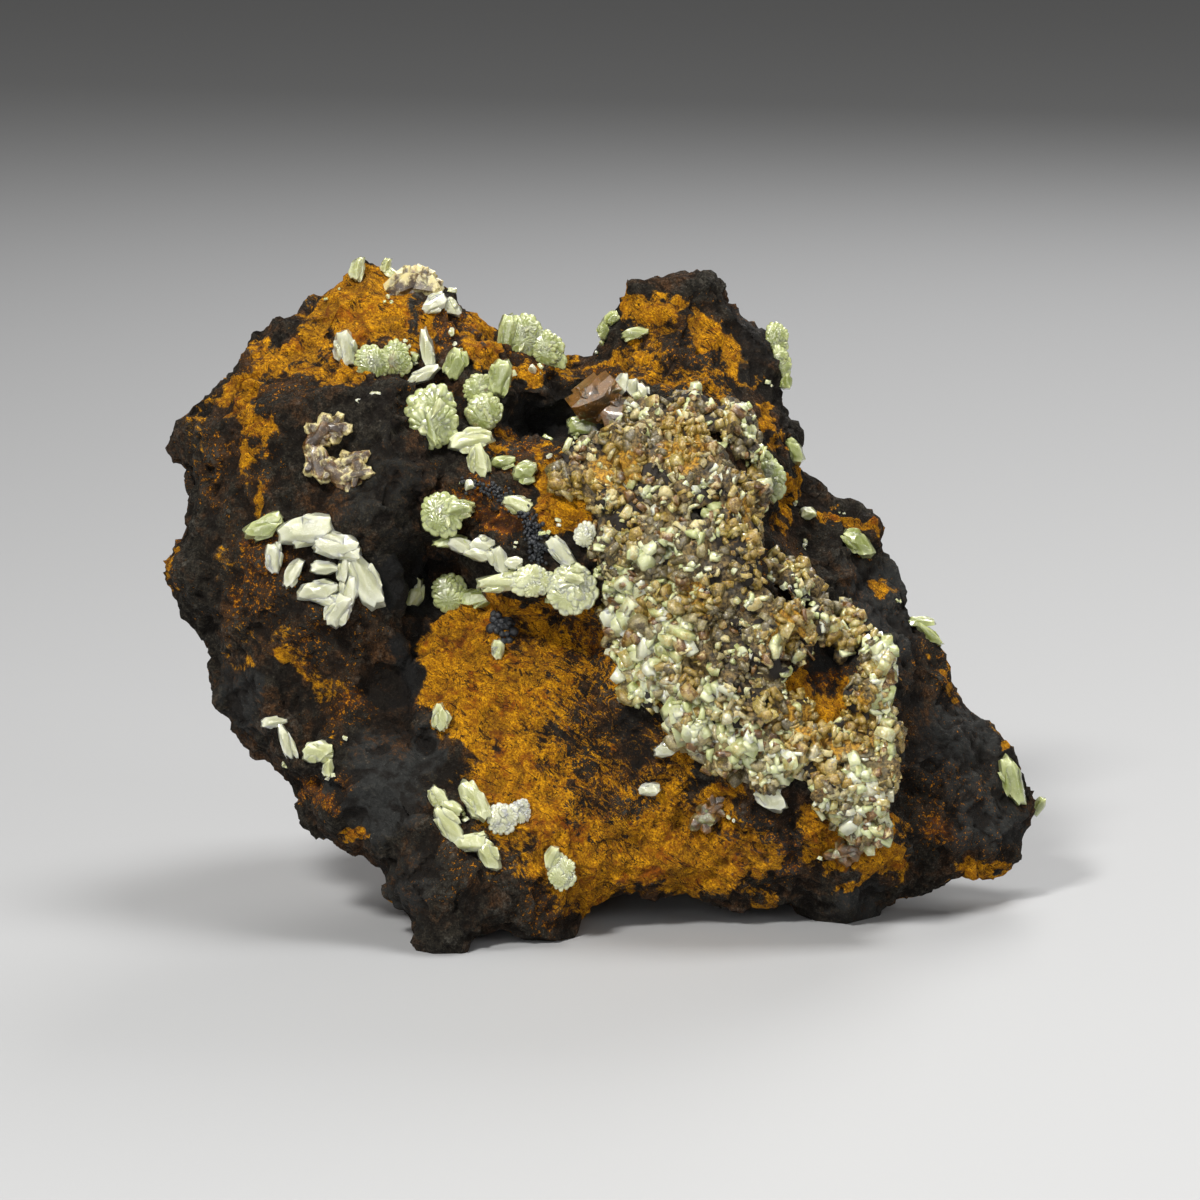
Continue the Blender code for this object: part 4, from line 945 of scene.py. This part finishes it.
crust_shape = welded("crystal_crust")
divide(crust_shape, CRUST_EDGE["front"], CRUST_EDGE["back"])
crust_points, crust_normals = arrays(crust_shape)
crust_relief = np.array([
    chips(spot + noise.noise_vector(spot / 1.5), 2.2) * 0.8
    + noise.noise(spot / 3.0) * 1.3 + noise.fractal(spot / 0.8, 0.8, 2.1, 3) * 0.35
    for spot in (Vector(point) / MM for point in crust_points)
])
crust_points = inside_box(crust_points + crust_normals * ((crust_relief * 0.9 - 0.35) * MM)[:, None])
across, down = seen_at(crust_points)
crust_mesh = moved_mesh("crust sheet", crust_shape, crust_points)
add_attribute(crust_mesh, "clean", patch_strength(across, down, CLEAN_BAND))
add_attribute(crust_mesh, "rusty", patch_strength(across, down, RUSTY_BAND))
# How deep each point lies in the sheet's relief, which the ground's material darkens as painted shade.
add_attribute(crust_mesh, "hollow", np.clip(0.5 - crust_relief * 1.2, 0, 1))

crust_ground, shade, shader = new_finish("crust ground")
clouds = shade.grain(1.8, 4, 0.7)
specks = shade.grain(0.35, 4, 0.7)
dull = specks.ramp(0.35, 0.65).mix(linear(38, 28, 12), linear(132, 110, 64))
grey = specks.ramp(0.3, 0.7).mix(linear(22, 20, 18), linear(84, 80, 72))
dull = (clouds.ramp(0.46, 0.62) * 0.85).mix(dull, grey)
rusty_cover = (shade.stored("rusty") * 0.9 + clouds * 0.6 + specks * 0.6 - 0.8).ramp(0, 0.25)
rust = specks.ramp(0.35, 0.65).mix(linear(96, 64, 6), linear(200, 150, 38))
dull = (rusty_cover * 0.9).mix(dull, rust)
dull = (shade.stored("clean") * 0.35).mix(dull, linear(150, 140, 96))
# Painted shade: the sheet is darkened in its hollows.
dull = shade.stored("hollow").ramp(0.45, 0.9).mix(dull, linear(24, 16, 8))
dull.feed(shader, "Base Color")
specks.emboss(shader, 0.9, 0.2 * MM)
shader.inputs["Roughness"].default_value = 0.7
crust_sheet = add_object("crust_sheet", crust_mesh, crust_ground)
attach(crust_sheet, "root")
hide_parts("crystal_crust")

chance = random.Random(12)
heap = Heap()
for face in crust_mesh.polygons:
    spot, outward = face.center, face.normal
    right, low = seen_at(np.array([spot]))
    clean = float(patch_strength(right, low, CLEAN_BAND)[0])
    rusty = float(patch_strength(right, low, RUSTY_BAND)[0])
    crowding = CRUST_CROWDING[0] + (CRUST_CROWDING[1] - CRUST_CROWDING[0]) * clean
    if chance.random() > face.area / MM ** 2 * crowding:
        continue
    beneath, rock_face, _, _ = rock_tree.find_nearest(spot)
    if (spot - beneath).dot(rock_face) < CRUST_HOLD:
        continue
    clump = noise.noise(spot / MM / 2.6) + noise.noise(spot / MM / 0.9) * 0.5
    gold = noise.noise(spot / MM / 3.2 + Vector((40, 0, 0))) > 0.12
    size = chance.choice((0.5, 0.6, 0.75, 0.9, 1.1, 1.4))
    length = (CRUST_LENGTH[0] + (CRUST_LENGTH[1] - CRUST_LENGTH[0]) * clean) * size * MM
    width = length * chance.uniform(0.5, 0.9)
    thick = width * chance.uniform(0.3, 0.9)
    lie = Vector([chance.gauss(0, 1) for _ in range(3)])
    lie = (lie + outward * chance.choice((0, 0, 0.6, 1.6))).normalized()
    stand = lie.to_track_quat("X", "Z").to_matrix().to_4x4()
    stand = stand @ Matrix.Rotation(chance.uniform(0, math.tau), 4, "X")
    middle = spot + outward * width * chance.uniform(-0.4, 0.3)
    if clump + clean * 0.9 + chance.uniform(-0.2, 0.2) > 0.3:
        tint = chance.choice((0.1, 0.3, 0.4, 0.5, 0.6, 0.95, 1.2))
    elif clump > -0.05:
        tint = chance.choice((0.4, 0.55, 0.95, 1.1, DULL))
    else:
        tint = chance.choice((0.95, 1.2, DULL, DULL, DULL))
    stain = chance.uniform(0.05, 0.5) + (0.45 if gold else 0) * (1 - clean * 0.6)
    stain += rusty * chance.uniform(0.1, 0.8) * (1 - clean * 0.8)
    stub = Matrix.Translation(middle) @ stand @ sized(length, width, thick)
    heap.add(chance.choice(STUBS), stub, tint, stain, chance.uniform(0, 9))
crust_crystals = add_object("crust_crystals", heap.mesh("crust crystals", crease=100), cerussite)
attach(crust_crystals, "root")

# Loose small crystals, too small to be solids of their own: a quarter of a millimetre to a millimetre
# and a half, white or pale green, grown in twos and threes on the rock beside the larger ones. Each
# row gives a place in pixels and the size of its crystals in millimetres.
CHIP_SPOTS = [
    (368, 395, 1.3), (286, 765, 0.8), (605, 433, 1.6), (585, 428, 1.2), (635, 390, 1.3), (463, 482, 1.6),
    (474, 478, 1.0), (546, 533, 0.9), (559, 526, 1.0), (533, 372, 1.2), (541, 368, 0.8), (508, 372, 1.4),
    (496, 392, 1.5), (340, 290, 1.0), (326, 296, 0.7), (352, 275, 1.2), (388, 300, 0.8), (405, 345, 1.0),
    (418, 362, 1.3), (448, 300, 1.6), (455, 342, 1.2), (602, 344, 0.9), (598, 352, 0.7), (552, 592, 1.2),
    (514, 545, 1.0), (498, 552, 0.9), (330, 776, 0.8), (345, 742, 0.7), (462, 816, 1.0), (476, 850, 1.4),
    (668, 636, 1.6), (655, 700, 1.4), (600, 690, 0.6), (733, 815, 0.8), (822, 852, 1.2), (868, 842, 0.9),
    (797, 500, 0.7), (806, 545, 0.9), (840, 512, 0.8), (900, 600, 0.7), (770, 385, 0.9), (580, 470, 1.1),
    (552, 440, 1.2), (565, 452, 1.0), (575, 437, 1.3), (592, 446, 1.4), (548, 455, 0.9), (602, 470, 1.4),
    (575, 480, 1.0), (612, 486, 1.4), (560, 468, 0.8), (583, 494, 0.9), (625, 505, 1.5), (616, 520, 1.2),
    (610, 500, 1.4), (600, 520, 1.3), (618, 540, 1.6), (606, 556, 1.3), (597, 575, 1.2), (588, 456, 1.2),
]
chance = random.Random(21)
heap = Heap()
for right, low, length in CHIP_SPOTS:
    spot, outward, _, _ = skin_tree.ray_cast(EYE, (place(right, low) - EYE).normalized())
    if spot is None:
        continue
    for _ in range(chance.choice((2, 2, 3))):
        lie = (Vector([chance.gauss(0, 1) for _ in range(3)]) + outward * 0.4).normalized()
        stand = lie.to_track_quat("X", "Z").to_matrix().to_4x4()
        beside = Vector([chance.gauss(0, 0.3) for _ in range(3)]) * length * MM
        size = length * chance.uniform(0.4, 0.85) * MM
        shape = sized(size, size * chance.uniform(0.6, 0.95), size * chance.uniform(0.5, 0.8))
        heap.add(chance.choice(TABLETS), Matrix.Translation(spot + beside) @ stand @ shape,
                 chance.choice((0.05, 0.2, 0.35, 0.5, 0.6)), chance.uniform(0.1, 0.4), chance.uniform(0, 9))
loose_chips = add_object("loose_chips", heap.mesh("loose chips"), cerussite)
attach(loose_chips, "root")

# Manganese oxide. Blue-black balls under a millimetre across, grown together like grapes: a knob on
# the ochre face, and the crusted rim that curves over the brown blade above it.
Trail = namedtuple("Trail", "first last balls stray radius height")
TRAILS = [                          # from pixel to pixel; stray in pixels, radius and height in millimetres
    Trail((505, 618), (500, 632), 34, 6, 0.5, 0.7), Trail((463, 481), (500, 493), 70, 3, 0.18, 0.4),
    Trail((500, 493), (529, 518), 110, 3.5, 0.2, 0.5), Trail((529, 518), (539, 547), 100, 4, 0.22, 0.5),
    Trail((539, 547), (534, 566), 60, 4, 0.2, 0.4),
]
ball_shape = bmesh.new()
bmesh.ops.create_icosphere(ball_shape, subdivisions=2, radius=0.5)
BALL = points_and_faces(ball_shape)
chance = random.Random(8)
heap = Heap()
for trail in TRAILS:
    for _ in range(trail.balls):
        along = chance.random()
        right, low = (start + (end - start) * along + chance.gauss(0, trail.stray)
                      for start, end in zip(trail.first, trail.last))
        spot, outward, _, _ = skin_tree.ray_cast(EYE, (place(right, low) - EYE).normalized())
        if spot is None:
            continue
        size = trail.radius * chance.uniform(1.2, 2.4) * MM
        stand = Matrix.Translation(spot + outward * chance.uniform(0, trail.height) * MM)
        heap.add(BALL, stand @ sized(size, size, size), 0, 0, 0)
black_oxide, shade, shader = new_finish("manganese oxide")
specks = shade.grain(0.3, 3, 0.7).spread()
specks.mix(linear(10, 12, 16), linear(50, 54, 60)).feed(shader, "Base Color")
(specks * 0.3 + 0.3).feed(shader, "Roughness")
specks.emboss(shader, 0.8, 0.08 * MM)
black_grains = add_object("black_grains", heap.mesh("black grains"), black_oxide)
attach(black_grains, "root")
